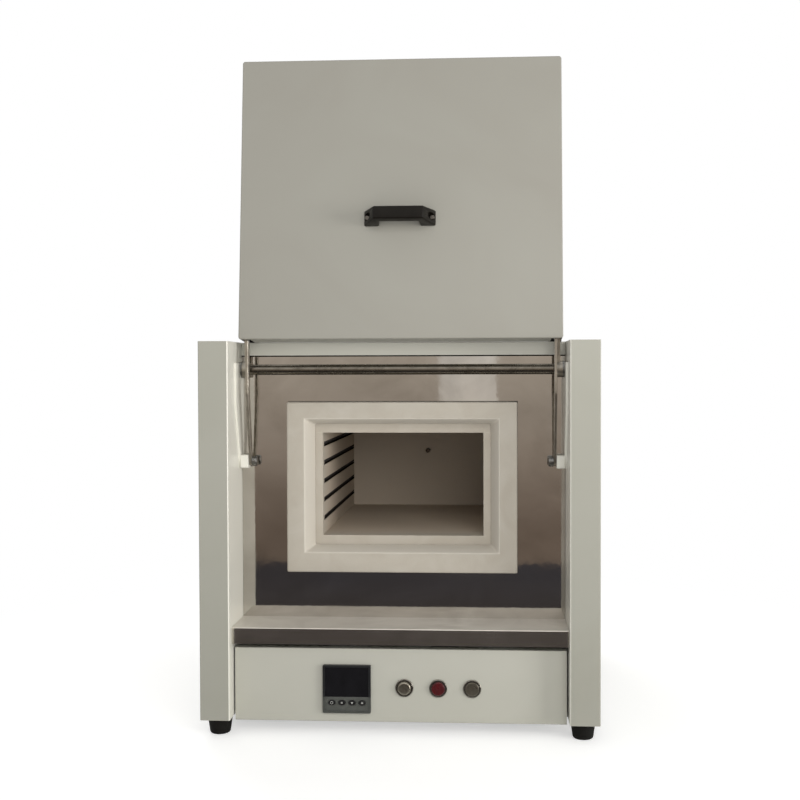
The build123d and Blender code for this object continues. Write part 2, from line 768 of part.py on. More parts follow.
# Upper arms: straight bars, each with a hub that is fixed on the cross shaft.
upper_pivot = (pivot_y, upper_pivot_z)
for side_name, side in sides:
    with BuildPart() as upper_arm:
        with BuildSketch(along(side * upper_arm_x)):
            bar(upper_pivot, upper_pin)
            with Locations(upper_pin):
                Circle(pin_diameter / 2, mode=Mode.SUBTRACT)
        extrude(amount=side * arm_thickness)
        with BuildSketch(along(side * hub_inner_x)):
            with Locations(upper_pivot):
                Circle(hub_diameter / 2)
        extrude(amount=side * hub_length)
        with BuildSketch(along(side * hub_inner_x)):
            with Locations(upper_pivot):
                Circle(shaft_diameter / 2)
        extrude(amount=side * hub_length, mode=Mode.SUBTRACT)
    upper_arm.part.label = f"{side_name}_upper_arm"
    export_step(upper_arm.part, f"parts/{side_name}_upper_arm.step")

# Upper arm pins: pressed into the upper arms, they run in the slots of the door brackets.
pin_inner_x = bracket_x - side_play
with BuildPart() as upper_arm_pins:
    for side in (-1, 1):
        with BuildSketch(along(side * pin_inner_x)):
            with Locations(upper_pin):
                Circle(pin_diameter / 2)
        extrude(amount=side * (upper_arm_x + arm_thickness + side_play - pin_inner_x))
upper_arm_pins.part.label = "upper_arm_pins"
export_step(upper_arm_pins.part, "parts/upper_arm_pins.step")

# Cross shaft: round bar that makes both upper arms swing as one.
with BuildPart() as cross_shaft:
    with BuildSketch(along(-shaft_half_length)):
        with Locations(upper_pivot):
            Circle(shaft_diameter / 2)
    extrude(amount=2 * shaft_half_length)
    chamfer(cross_shaft.edges().filter_by(GeomType.CIRCLE), length=sheet)
cross_shaft.part.label = "cross_shaft"
export_step(cross_shaft.part, "parts/cross_shaft.step")

# Door panel: painted pan with folded edges, its bottom edge cut away where the arms come in.
notch_width = door_width / 2 - sheet - door_back_half_width
with BuildPart() as door_panel:
    with BuildSketch(across(door_front)):
        with Locations((0, door_middle)):
            RectangleRounded(door_width, door_height, 2 * fold_radius)
    extrude(amount=-door_pan_depth)
    fillet(door_panel.edges().group_by(Axis.Y)[0], radius=fold_radius)
    with BuildSketch(across(door_front + sheet)):
        with Locations((0, door_middle)):
            RectangleRounded(door_width - 2 * sheet, door_height - 2 * sheet, 2 * fold_radius - sheet)
    extrude(amount=-door_pan_depth, mode=Mode.SUBTRACT)
    with BuildSketch(Plane.XY.offset(door_bottom)):
        with Locations((0, (door_front + 2 * fold_radius + door_rear) / 2)):
            with GridLocations(2 * door_back_half_width + notch_width, 1, 2, 1):
                Rectangle(notch_width, door_pan_depth - 2 * fold_radius)
    extrude(amount=2 * fold_radius, mode=Mode.SUBTRACT)
    with BuildSketch(across(door_front)):
        with Locations((0, door_bottom + handle_z)):
            with GridLocations(handle_length - 2 * handle_screw_inset, 1, 2, 1):
                Circle(screw_shank / 2)
    extrude(amount=-sheet, mode=Mode.SUBTRACT)
door_panel.part.label = "door_panel"
export_step(door_panel.part.moved(raised), "parts/door_panel.step")

# Door back: the sheet that closes the pan between the arms and carries the plug.
with BuildPart() as door_back:
    with BuildSketch(across(door_rear)):
        with Locations((0, door_middle)):
            Rectangle(2 * door_back_half_width, door_height - 2 * fold_radius)
    extrude(amount=-door_plate)
door_back.part.label = "door_back"
export_step(door_back.part.moved(raised), "parts/door_back.step")

# Door filling: light insulation inside the pan.
filling_inset = bracket_overlap
with BuildPart() as door_filling:
    with BuildSketch(across(door_front + sheet + screw_length)):
        with Locations((0, door_middle)):
            Rectangle(
                2 * (door_back_half_width - filling_inset), door_height - 2 * filling_inset
            )
    extrude(amount=-(door_pan_depth - sheet - screw_length))
door_filling.part.label = "door_filling"
export_step(door_filling.part.moved(raised), "parts/door_filling.step")

# Door plug: fibre board as large as the collar, and on it a tapered nose that fills its seat.
plug_face = collar_front - plug_gap
plug_tip = collar_front + plug_reach
nose_scale = 1 - recess_taper * plug_reach / collar_depth
nose_width = mouth_width - 2 * plug_clearance
nose_height = mouth_height - 2 * plug_clearance
with BuildPart() as door_plug:
    with BuildSketch(across(plug_face)):
        with Locations((0, collar_centre_z)):
            RectangleRounded(collar_width, collar_height, 2 * fold_radius)
    extrude(amount=plug_face - door_rear - door_plate)
    with BuildSketch(across(plug_face)):
        with Locations((0, chamber_centre_z)):
            Rectangle(nose_width, nose_height)
    with BuildSketch(across(plug_tip)):
        with Locations((0, chamber_centre_z)):
            Rectangle(nose_width * nose_scale, nose_height * nose_scale)
    loft()
    chamfer(door_plug.edges().group_by(Axis.Y)[-1], length=fold_radius)
    split(bisect_by=across(plug_face), keep=Keep.BOTH)
door_plug.part.label = "door_plug"
export_step(door_plug.part.moved(raised), "parts/door_plug.step")

# Door brackets: plates inside the pan, bored for the door pins and slotted for the upper arm pins.
with BuildPart() as door_brackets:
    for side in (-1, 1):
        with BuildSketch(along(side * bracket_x)):
            with Locations(
                ((door_front + sheet + door_rear) / 2, (closed_pin[1] + slot_centre[1]) / 2)
            ):
                Rectangle(door_pan_depth - sheet, slot_rise + 2 * bracket_size)
            with Locations(closed_pin):
                Circle(pin_diameter / 2, mode=Mode.SUBTRACT)
            with Locations(slot_centre):
                SlotOverall(slot_length, slot_width, rotation=90, mode=Mode.SUBTRACT)
        extrude(amount=side * bracket_thickness)
door_brackets.part.label = "door_brackets"
export_step(door_brackets.part.moved(raised), "parts/door_brackets.step")

# Door pins: short pins in the brackets that the lower arms turn on.
with BuildPart() as door_pins:
    for side in (-1, 1):
        with BuildSketch(along(side * bracket_x)):
            with Locations(closed_pin):
                Circle(pin_diameter / 2)
        extrude(amount=side * (lower_arm_x + arm_thickness + side_play - bracket_x))
door_pins.part.label = "door_pins"
export_step(door_pins.part.moved(raised), "parts/door_pins.step")

# Handle: moulded bow, its bar cranked out from two screwed feet.
handle_mid_z = door_bottom + handle_z
handle_out = door_front - handle_stand_off
with BuildPart() as handle:
    with BuildSketch(Plane.XY.offset(handle_mid_z - handle_height / 2)):
        with BuildLine():
            Polyline(
                (-handle_length / 2 + 2 * handle_screw_inset, door_front),
                (-handle_grip_length / 2, handle_out),
                (handle_grip_length / 2, handle_out),
                (handle_length / 2 - 2 * handle_screw_inset, door_front),
                (handle_length / 2 - 2 * handle_screw_inset - handle_bar, door_front),
                (handle_grip_length / 2 - handle_bar, handle_out + handle_bar),
                (-handle_grip_length / 2 + handle_bar, handle_out + handle_bar),
                (-handle_length / 2 + 2 * handle_screw_inset + handle_bar, door_front),
                close=True,
            )
        make_face()
    extrude(amount=handle_height)
    grip_corners = handle.edges().filter_by(Axis.Z).group_by(Axis.Y)[0]
    fillet(grip_corners, radius=handle_bar / 2)
    inner_corners = [
        e for e in handle.edges().filter_by(Axis.Z) if abs(e.center().Y - handle_out - handle_bar) < 1
    ]
    fillet(inner_corners, radius=handle_bar / 3)
    fillet(handle.faces().sort_by(Axis.Z)[-1].outer_wire().edges().sort_by(Axis.Y)[:-2], radius=handle_bar / 5)
    fillet(handle.faces().sort_by(Axis.Z)[0].outer_wire().edges().sort_by(Axis.Y)[:-2], radius=handle_bar / 5)
    with BuildSketch(across(door_front)):
        with Locations((0, handle_mid_z)):
            with GridLocations(handle_length - handle_bar - handle_screw_inset, 1, 2, 1):
                RectangleRounded(handle_bar + handle_screw_inset, handle_foot_height, 2 * fold_radius)
    extrude(amount=handle_pad)
    with BuildSketch(across(door_front)):
        with Locations((0, handle_mid_z)):
            with GridLocations(handle_length - 2 * handle_screw_inset, 1, 2, 1):
                Circle(screw_shank / 2)
    extrude(amount=handle_pad, mode=Mode.SUBTRACT)
handle.part.label = "handle"
export_step(handle.part.moved(raised), "parts/handle.step")

# Handle screws: pan heads on the handle's feet, tapped into the door panel.
with BuildPart() as handle_screws:
    with BuildSketch(across(door_front - handle_pad)):
        with Locations((0, handle_mid_z)):
            with GridLocations(handle_length - 2 * handle_screw_inset, 1, 2, 1):
                Circle(screw_head / 2)
    extrude(amount=screw_head_height)
    fillet(handle_screws.edges().group_by(Axis.Y)[0], radius=screw_head_height / 2)
    with BuildSketch(across(door_front - handle_pad)):
        with Locations((0, handle_mid_z)):
            with GridLocations(handle_length - 2 * handle_screw_inset, 1, 2, 1):
                Circle(screw_shank / 2)
    extrude(amount=-(handle_pad + screw_length))
handle_screws.part.label = "handle_screws"
export_step(handle_screws.part.moved(raised), "parts/handle_screws.step")

# Controller: bezel with a dark window above a key strip, and the case behind the panel.
bezel_front = panel_front - controller_bezel_depth
window_size = controller_size - 2 * controller_rim
window_height = window_size - controller_strip
strip_z = controller_z - controller_size / 2 + controller_rim + controller_strip / 2
window_z = controller_z + controller_size / 2 - controller_rim - window_height / 2
key_z = strip_z + controller_strip / 2 - key_height
key_x_offset = -2.0
key_xs = [
    controller_x + key_x_offset + (i - (key_count - 1) / 2) * key_pitch for i in range(key_count)
]
with BuildPart() as controller_bezel:
    with BuildSketch(across(panel_front)):
        with Locations((controller_x, controller_z)):
            RectangleRounded(controller_size, controller_size, fold_radius)
    extrude(amount=controller_bezel_depth)
    fillet(controller_bezel.edges().group_by(Axis.Y)[0], radius=fold_radius / 2)
    with BuildSketch(across(bezel_front)):
        with Locations((controller_x, controller_z)):
            Rectangle(window_size, window_size)
    extrude(amount=-controller_bezel_depth, mode=Mode.SUBTRACT)
controller_bezel.part.label = "controller_bezel"
export_step(controller_bezel.part, "parts/controller_bezel.step")

with BuildPart() as controller_case:
    with BuildSketch(across(panel_front)):
        with Locations((controller_x, controller_z)):
            Rectangle(controller_cutout - 2 * seam, controller_cutout - 2 * seam)
    extrude(amount=-controller_case_depth)
    chamfer(controller_case.edges().group_by(Axis.Y)[-1], length=fold_radius)
controller_case.part.label = "controller_case"
export_step(controller_case.part, "parts/controller_case.step")

with BuildPart() as display_window:
    with BuildSketch(across(panel_front)):
        with Locations((controller_x, window_z)):
            Rectangle(window_size, window_height)
    extrude(amount=controller_bezel_depth - glass_depth / 2)
display_window.part.label = "display_window"
export_step(display_window.part, "parts/display_window.step")

with BuildPart() as key_strip:
    with BuildSketch(across(panel_front)):
        with Locations((controller_x, strip_z)):
            Rectangle(window_size, controller_strip)
        with Locations(*[(x, key_z) for x in key_xs]):
            Ellipse(key_width / 2 + seam, key_height / 2 + seam, mode=Mode.SUBTRACT)
    extrude(amount=controller_bezel_depth - glass_depth / 2)
key_strip.part.label = "key_strip"
export_step(key_strip.part, "parts/key_strip.step")

# Keys: four small oval keys in the strip.
strip_front = panel_front - controller_bezel_depth + glass_depth / 2
for number, x in enumerate(key_xs, start=1):
    with BuildPart() as key:
        with BuildSketch(across(strip_front - key_rise)):
            with Locations((x, key_z)):
                Ellipse(key_width / 2, key_height / 2)
        extrude(amount=-(key_rise + controller_bezel_depth / 2))
        fillet(key.edges().group_by(Axis.Y)[0], radius=key_rise / 3)
    key.part.label = f"key_{number}"
    export_step(key.part, f"parts/key_{number}.step")

# Push buttons: metal bezels through the panel, each with a cap that travels in its bore.
with BuildPart() as button_bezels:
    for x in button_xs:
        with BuildSketch(across(panel_front)):
            with Locations((x, button_z)):
                Circle(button_bezel_diameter / 2)
        extrude(amount=button_bezel_depth)
    fillet(button_bezels.edges().group_by(Axis.Y)[0], radius=fold_radius / 2)
    with BuildSketch(across(panel_front)):
        with Locations(*[(x, button_z) for x in button_xs]):
            Circle(button_hole / 2)
    extrude(amount=-button_body_depth)
    with BuildSketch(across(panel_front - button_bezel_depth)):
        with Locations(*[(x, button_z) for x in button_xs]):
            Circle(button_cap_diameter / 2 + button_gap)
    extrude(amount=-(button_bezel_depth + button_body_depth - button_wall), mode=Mode.SUBTRACT)
button_bezels.part.label = "button_bezels"
export_step(button_bezels.part, "parts/button_bezels.step")

button_names = ("power_button", "stop_button", "start_button")
button_rises = (3.6, 3.2, 2.2)
button_domes = (3.0, 1.6, 0.6)
for name, x, rise, dome in zip(button_names, button_xs, button_rises, button_domes):
    with BuildPart() as button_cap:
        with BuildSketch(across(panel_front - button_bezel_depth - rise)):
            with Locations((x, button_z)):
                Circle(button_cap_diameter / 2)
        extrude(amount=-(rise + button_bezel_depth + button_body_depth / 2))
        fillet(button_cap.edges().group_by(Axis.Y)[0], radius=dome)
    button_cap.part.label = name
    export_step(button_cap.part, f"parts/{name}.step")

# Electrical bay: relay on its finned heatsink, and the mains terminals.
bay_floor = foot_height + sheet
with BuildPart() as relay_heatsink:
    with BuildSketch(Plane.XY.offset(bay_floor)):
        with Locations((relay_x, relay_y)):
            Rectangle(heatsink_width, heatsink_length)
            fin_gap = (heatsink_width - fin_thickness) / (fin_count - 1)
            with GridLocations(fin_gap, 1, fin_count - 1, 1):
                Rectangle(fin_gap - fin_thickness, heatsink_length, mode=Mode.SUBTRACT)
    extrude(amount=heatsink_height - heatsink_base)
    with BuildSketch(Plane.XY.offset(bay_floor + heatsink_height - heatsink_base)):
        with Locations((relay_x, relay_y)):
            Rectangle(heatsink_width, heatsink_length)
    extrude(amount=heatsink_base)
relay_heatsink.part.label = "relay_heatsink"
export_step(relay_heatsink.part, "parts/relay_heatsink.step")

with BuildPart() as power_relay:
    with BuildSketch(Plane.XY.offset(bay_floor + heatsink_height)):
        with Locations((relay_x, relay_y)):
            Rectangle(relay_width, relay_length)
    extrude(amount=relay_height)
    chamfer(power_relay.edges().group_by(Axis.Z)[-1], length=fold_radius)
power_relay.part.label = "power_relay"
export_step(power_relay.part, "parts/power_relay.step")

with BuildPart() as terminal_block:
    with BuildSketch(Plane.XY.offset(bay_floor)):
        with Locations((terminal_x, relay_y)):
            Rectangle(terminal_count * terminal_pitch, 2 * terminal_pitch)
    extrude(amount=2 * terminal_pitch)
    with BuildSketch(Plane.XY.offset(bay_floor + 2 * terminal_pitch)):
        with Locations((terminal_x, relay_y)):
            with GridLocations(terminal_pitch, terminal_pitch, terminal_count, 2):
                Circle(terminal_pitch / 4)
    extrude(amount=-terminal_pitch, mode=Mode.SUBTRACT)
terminal_block.part.label = "terminal_block"
export_step(terminal_block.part, "parts/terminal_block.step")
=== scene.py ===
import bmesh
import bpy
import math
from mathutils import Matrix, Vector


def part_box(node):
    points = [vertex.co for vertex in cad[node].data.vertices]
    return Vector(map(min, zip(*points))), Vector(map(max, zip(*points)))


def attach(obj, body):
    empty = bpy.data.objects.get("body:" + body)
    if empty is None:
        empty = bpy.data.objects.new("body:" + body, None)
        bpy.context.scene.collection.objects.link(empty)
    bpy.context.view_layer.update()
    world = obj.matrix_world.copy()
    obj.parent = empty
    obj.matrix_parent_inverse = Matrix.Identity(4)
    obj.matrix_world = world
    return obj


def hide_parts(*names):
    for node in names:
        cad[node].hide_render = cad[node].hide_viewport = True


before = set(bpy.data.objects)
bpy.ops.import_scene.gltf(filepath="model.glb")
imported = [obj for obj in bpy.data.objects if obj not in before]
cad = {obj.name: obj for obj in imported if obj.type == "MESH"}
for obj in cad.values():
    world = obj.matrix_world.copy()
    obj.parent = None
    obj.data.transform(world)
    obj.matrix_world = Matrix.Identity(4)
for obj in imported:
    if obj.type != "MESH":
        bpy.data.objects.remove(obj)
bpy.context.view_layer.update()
bpy.ops.object.select_all(action="DESELECT")


# Casing: base pan, rear cover and terminal cover, folded from steel sheet and screwed together.
# Their smooth, light warm grey powder coat is baked on. It has a faint orange peel, is a little
# uneven in tone, and thins along the folds.
def tone(red, green, blue):
    """A colour as it is picked on screen, 0 to 255 a channel, made linear for a shader."""
    offset, power = 0.055, 2.4
    parts = [(channel / 255 + offset) / (1 + offset) for channel in (red, green, blue)]
    return (*[part ** power for part in parts], 1.0)


def add(tree, kind, **settings):
    """A node of the tree. Settings in capitals are its inputs, the others its own switches."""
    made = tree.nodes.new(kind)
    for name, value in settings.items():
        label = name.replace("_", " ")
        if label in made.inputs and name[0].isupper():
            made.inputs[label].default_value = value
        else:
            setattr(made, name, value)
    return made


def wire(tree, *pairs):
    """Links each output to the input that stands next to it."""
    for source, target in pairs:
        tree.links.new(source, target)


def maths(tree, operation, *terms):
    """The result of a sum, whose terms are numbers or other nodes' outputs."""
    made = add(tree, "ShaderNodeMath", operation=operation)
    for socket, term in zip(made.inputs, terms):
        if isinstance(term, bpy.types.NodeSocket):
            tree.links.new(term, socket)
        else:
            socket.default_value = term
    return made.outputs[0]


def ramp(tree, value, start, end, low=0.0, high=1.0, shape="LINEAR"):
    """A value turned into one that runs from low to high while the first runs from start to end."""
    made = add(
        tree, "ShaderNodeMapRange", From_Min=start, From_Max=end, To_Min=low, To_Max=high,
        interpolation_type=shape,
    )
    tree.links.new(value, made.inputs["Value"])
    return made.outputs[0]


def object_noise(tree, **settings):
    """Noise that is fixed to the piece's own coordinates."""
    noise = add(tree, "ShaderNodeTexNoise", **settings)
    place = add(tree, "ShaderNodeTexCoord")
    tree.links.new(place.outputs["Object"], noise.inputs["Vector"])
    return noise


def new_group(name, inputs, output):
    """An empty shader group with numbers as inputs, each with its usual value, and one output."""
    group = bpy.data.node_groups.new(name, "ShaderNodeTree")
    for label, value in inputs.items():
        socket = group.interface.new_socket(label, in_out="INPUT", socket_type="NodeSocketFloat")
        socket.default_value = value
    group.interface.new_socket(output, in_out="OUTPUT", socket_type="NodeSocketFloat")
    given = add(group, "NodeGroupInput").outputs
    result = add(group, "NodeGroupOutput").inputs[output]
    return group, given, result


def make_grain_group():
    """Fine relief of a surface: a height, for grains of a given size in metres."""
    group, given, result = new_group("fine_grain", {"Size": 0.001, "Detail": 3.0}, "Height")
    noise = object_noise(group, Roughness=0.55)
    wire(
        group,
        (maths(group, "DIVIDE", 1.0, given["Size"]), noise.inputs["Scale"]),
        (given["Detail"], noise.inputs["Detail"]),
        (noise.outputs["Fac"], result),
    )
    return group


def make_wear_group():
    """Worn edges: a mask of the corners within a radius, broken up so that no edge is worn evenly."""
    group, given, result = new_group("edge_wear", {"Radius": 0.002, "Break Up": 90.0}, "Mask")
    rounded = add(group, "ShaderNodeBevel", samples=4)
    flat = add(group, "ShaderNodeNewGeometry")
    likeness = add(group, "ShaderNodeVectorMath", operation="DOT_PRODUCT")
    noise = object_noise(group, Detail=4.0)
    wire(
        group,
        (given["Radius"], rounded.inputs["Radius"]),
        (rounded.outputs["Normal"], likeness.inputs[0]),
        (flat.outputs["Normal"], likeness.inputs[1]),
        (given["Break Up"], noise.inputs["Scale"]),
    )
    corners = ramp(group, likeness.outputs["Value"], start=0.985, end=0.80)
    patches = ramp(group, noise.outputs["Fac"], start=0.42, end=0.62)
    group.links.new(maths(group, "MULTIPLY", corners, patches), result)
    return group


def make_mottle_group():
    """Slow unevenness over a whole panel: wipe marks and a coat of changing thickness."""
    group, given, result = new_group("slow_mottle", {"Scale": 6.0, "Smears": 2.0}, "Mask")
    noise = object_noise(group, Detail=3.0, Roughness=0.5)
    wire(
        group,
        (given["Scale"], noise.inputs["Scale"]),
        (given["Smears"], noise.inputs["Distortion"]),
        (ramp(group, noise.outputs["Fac"], start=0.30, end=0.70), result),
    )
    return group


fine_grain = make_grain_group()
edge_wear = make_wear_group()
slow_mottle = make_mottle_group()


def finish(
    name, body, darker, worn, rough, rough_spread, grain_size, relief, wear_radius, mottle_scale,
    metallic=0.0, specular=0.5,
):
    """A finish with an uneven body colour and gloss, worn corners and a fine relief."""
    material = bpy.data.materials.new(name)
    material.use_nodes = True
    tree = material.node_tree
    shader = tree.nodes["Principled BSDF"].inputs
    shader["Metallic"].default_value = metallic
    shader["Specular IOR Level"].default_value = specular
    mottle = add(tree, "ShaderNodeGroup", node_tree=slow_mottle, Scale=mottle_scale).outputs["Mask"]
    grain = add(tree, "ShaderNodeGroup", node_tree=fine_grain, Size=grain_size).outputs["Height"]
    wear = add(tree, "ShaderNodeGroup", node_tree=edge_wear, Radius=wear_radius).outputs["Mask"]
    coat = add(tree, "ShaderNodeMix", data_type="RGBA", A=body, B=darker)
    corners = add(tree, "ShaderNodeMix", data_type="RGBA", B=worn)
    bump = add(tree, "ShaderNodeBump", Strength=1.0, Distance=relief)
    gloss = ramp(tree, mottle, start=0.0, end=1.0, low=rough - rough_spread, high=rough + rough_spread)
    wire(
        tree,
        (mottle, coat.inputs["Factor"]),
        (coat.outputs["Result"], corners.inputs["A"]),
        (wear, corners.inputs["Factor"]),
        (corners.outputs["Result"], shader["Base Color"]),
        (gloss, shader["Roughness"]),
        (grain, bump.inputs["Height"]),
        (bump.outputs["Normal"], shader["Normal"]),
    )
    return material


def powder_coat(name, body, darker, worn, rough=0.34):
    """The baked coat in one of its shades."""
    return finish(
        name, body, darker, worn, rough=rough, rough_spread=0.04, grain_size=0.0016, relief=0.00004,
        wear_radius=0.0015, mottle_scale=3.0,
    )


def give(piece, material):
    """Gives a piece its only material."""
    piece.data.materials.clear()
    piece.data.materials.append(material)


def dress(material, *names):
    """Gives CAD nodes their finish."""
    for name in names:
        give(cad[name], material)


casing_paint = powder_coat("casing_paint", tone(161, 160, 151), tone(157, 156, 146), tone(180, 178, 170))
dress(casing_paint, "base_pan", "rear_cover", "terminal_cover")


# Cheeks: closed side columns folded from sheet, flanged at the back for the rear cover, in the
# casing's paint. The walls that face each other behind the door are painted paler, as painted
# light falling in from the side.
def object_axes(tree):
    """A point's X, Y and Z on the piece, as outputs."""
    place = add(tree, "ShaderNodeTexCoord")
    axes = add(tree, "ShaderNodeSeparateXYZ")
    tree.links.new(place.outputs["Object"], axes.inputs[0])
    return axes.outputs


def tint(material, colour, mask):
    """Lays a colour over what the finish has, where the mask is white."""
    tree = material.node_tree
    base = tree.nodes["Principled BSDF"].inputs["Base Color"]
    layer = add(tree, "ShaderNodeMix", data_type="RGBA", B=colour)
    wire(
        tree,
        (base.links[0].from_socket, layer.inputs["A"]),
        (mask, layer.inputs["Factor"]),
        (layer.outputs["Result"], base),
    )


inner_wall_x = 0.2520
cheek_paint_lit_inside = powder_coat(
    "cheek_paint_lit_inside", tone(159, 158, 148), tone(155, 154, 143), tone(178, 176, 168), rough=0.32,
)
cheek_tree = cheek_paint_lit_inside.node_tree
cheek_side = maths(cheek_tree, "ABSOLUTE", object_axes(cheek_tree)["X"])
# Painted light: the inner walls, nearer the middle than inner_wall_x, get a paler tint.
tint(cheek_paint_lit_inside, tone(220, 218, 208), maths(cheek_tree, "LESS_THAN", cheek_side, inner_wall_x))
dress(cheek_paint_lit_inside, "left_cheek", "right_cheek")

# Feet: tapered pads of black moulded rubber, a little greyed by dust on the flanks.
# Each is held by a screw up through its middle and the bottom of its cheek.
foot_rubber = finish(
    "foot_rubber", tone(15, 14, 12), tone(24, 23, 21), tone(40, 38, 35),
    rough=0.72, rough_spread=0.08, grain_size=0.0012, relief=0.00008, wear_radius=0.0015,
    mottle_scale=30.0, specular=0.2,
)
dress(foot_rubber, "rubber_feet")

# Screws, bearings, pivots, door brackets and spring cassettes: zinc-plated steel, turned or stamped,
# grey and slightly cloudy. Their corners are rubbed bright by tools and by the arms.
zinc_steel = finish(
    "zinc_steel", tone(150, 149, 146), tone(118, 117, 114), tone(196, 195, 190),
    rough=0.36, rough_spread=0.08, grain_size=0.0009, relief=0.00002, wear_radius=0.0008,
    mottle_scale=60.0, metallic=1.0,
)
dress(
    zinc_steel, "rear_screws", "foot_screws", "pivot_bolts", "door_pins", "upper_arm_pins",
    "shaft_bearings", "spring_cassettes", "door_brackets",
)

# Inner casing: a box of plain mill-finish sheet round the insulation, open to the front.
# It is hidden but for its edges.
inner_sheet = finish(
    "inner_sheet", tone(150, 150, 148), tone(128, 127, 124), tone(180, 180, 176),
    rough=0.45, rough_spread=0.06, grain_size=0.002, relief=0.00003, wear_radius=0.001,
    mottle_scale=12.0, metallic=1.0,
)
dress(inner_sheet, "inner_casing")


# Insulation and door plug: boards vacuum-formed from off-white ceramic fibre and cut to fit,
# matt and slightly felted, with soft corners that crumble a little.
def fibre_board(name):
    """The felted surface of a fibre board."""
    return finish(
        name, tone(175, 169, 158), tone(169, 162, 150), tone(188, 183, 173),
        rough=0.88, rough_spread=0.04, grain_size=0.0022, relief=0.00025, wear_radius=0.002,
        mottle_scale=14.0, specular=0.2,
    )


fibre = fibre_board("fibre")
dress(
    fibre, "muffle_collar", "door_plug", "bottom_insulation", "top_insulation", "side_insulation",
    "rear_insulation", "door_filling",
)

# Chamber: floor, roof, grooved side walls and back, boards of the same fibre set edge to edge.
# They are browned a little by heat behind their front ends, and the inside of the grooves is painted dark
# as painted shade.
chamber_clean_y = -0.2250
chamber_browned_y = -0.1500
browning = 0.9
groove_mouth_x = 0.1262
groove_front_y = -0.2020
chamber_fibre = fibre_board("chamber_fibre")
chamber_tree = chamber_fibre.node_tree
chamber_axes = object_axes(chamber_tree)
chamber_side = maths(chamber_tree, "ABSOLUTE", chamber_axes["X"])
behind_wall_face = maths(chamber_tree, "GREATER_THAN", chamber_side, groove_mouth_x)
behind_front_end = maths(chamber_tree, "GREATER_THAN", chamber_axes["Y"], groove_front_y)
tint(
    chamber_fibre, tone(186, 173, 157),
    ramp(chamber_tree, chamber_axes["Y"], chamber_clean_y, chamber_browned_y, high=browning),
)
# Painted shade: the inside of the grooves, behind the wall faces and their front ends, is painted dark.
tint(
    chamber_fibre, tone(44, 38, 32),
    maths(chamber_tree, "MULTIPLY", behind_wall_face, behind_front_end),
)
dress(
    chamber_fibre, "chamber_floor", "chamber_roof", "chamber_left_wall", "chamber_right_wall",
    "chamber_rear_wall",
)

# Front plate, cut out for the collar, and door back, which closes the door pan: stainless sheet
# polished to a mirror, faintly wavy from the rolling, with wiping marks that run across it.
polished_steel = finish(
    "polished_steel", tone(205, 202, 197), tone(188, 184, 178), tone(225, 223, 218),
    rough=0.05, rough_spread=0.02, grain_size=0.05, relief=0.00012, wear_radius=0.0006,
    mottle_scale=7.0, metallic=1.0,
)
dress(polished_steel, "front_plate", "door_back")

# Sill: a shelf of the same stainless sheet below the door. Hot trays have dulled the fine polish
# of its tread, while the lip that is folded down in front has kept the mirror.
tread_depth = 0.0012
tread_metallic = 0.48
lip_roughness = 0.19
sill_steel = finish(
    "sill_steel", tone(226, 222, 214), tone(206, 201, 192), tone(236, 234, 229),
    rough=0.42, rough_spread=0.05, grain_size=0.03, relief=0.00008, wear_radius=0.0008,
    mottle_scale=9.0,
)
sill_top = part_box("sill_plate")[1].z
sill_tree = sill_steel.node_tree
sill_shader = sill_tree.nodes["Principled BSDF"].inputs
sill_tread = maths(sill_tree, "GREATER_THAN", object_axes(sill_tree)["Z"], sill_top - tread_depth)
sill_gloss = add(sill_tree, "ShaderNodeMix", data_type="FLOAT", A=lip_roughness)
wire(
    sill_tree,
    (sill_tread, sill_gloss.inputs["Factor"]),
    (sill_shader["Roughness"].links[0].from_socket, sill_gloss.inputs["B"]),
    (sill_gloss.outputs["Result"], sill_shader["Roughness"]),
    (ramp(sill_tree, sill_tread, 0.0, 1.0, low=1.0, high=tread_metallic), sill_shader["Metallic"]),
)
dress(sill_steel, "sill_plate")


# Collar: fibre board round the mouth, its recess narrowing towards the chamber as a seat for the plug.
# It is cut from a slab and all its corners are rubbed round by hand. The walls of the recess are
# painted a shade paler than the face, as painted light.
def select_only(piece):
    """Makes the piece the only one that an operator acts on."""
    bpy.ops.object.select_all(action="DESELECT")
    piece.select_set(True)
    bpy.context.view_layer.objects.active = piece


def fix_place():
    """Puts the place, turn and scale of a new primitive into its mesh, and returns it."""
    bpy.ops.object.transform_apply(location=True, rotation=True, scale=True)
    return bpy.context.object


def block(name, low, high):
    """A box between two corners, to be shaped further."""
    bpy.ops.mesh.primitive_cube_add(size=1, location=[(a + b) / 2 for a, b in zip(low, high)])
    bpy.context.object.name = name
    bpy.context.object.scale = [b - a for a, b in zip(low, high)]
    return fix_place()


def pick(piece, test):
    """Goes into edit mode and selects the faces whose normal passes the test."""
    select_only(piece)
    bpy.ops.object.mode_set(mode="EDIT")
    bpy.ops.mesh.select_mode(type="FACE")
    bpy.ops.mesh.select_all(action="DESELECT")
    mesh = bmesh.from_edit_mesh(piece.data)
    for face in mesh.faces:
        face.select_set(test(face.normal))
    bmesh.update_edit_mesh(piece.data)


def leave_edit():
    bpy.ops.object.mode_set(mode="OBJECT")


def draw_in(piece, test, factors, centre):
    """Scales the faces whose normal passes the test, about a centre."""
    pick(piece, test)
    bpy.ops.transform.resize(value=factors, center_override=centre)
    leave_edit()


def use(piece, kind, **settings):
    """Adds a modifier to the piece and applies it."""
    select_only(piece)
    change = piece.modifiers.new(kind.lower(), kind)
    for name, value in settings.items():
        setattr(change, name, value)
    bpy.ops.object.modifier_apply(modifier=change.name)


def cut(piece, cutter):
    """Takes the cutter's shape out of the piece."""
    use(piece, "BOOLEAN", object=cutter, operation="DIFFERENCE", solver="EXACT")
    bpy.data.objects.remove(cutter)


def smooth(piece):
    """Shades all but the sharp edges smooth."""
    select_only(piece)
    bpy.ops.object.shade_smooth_by_angle(angle=sharp_angle)


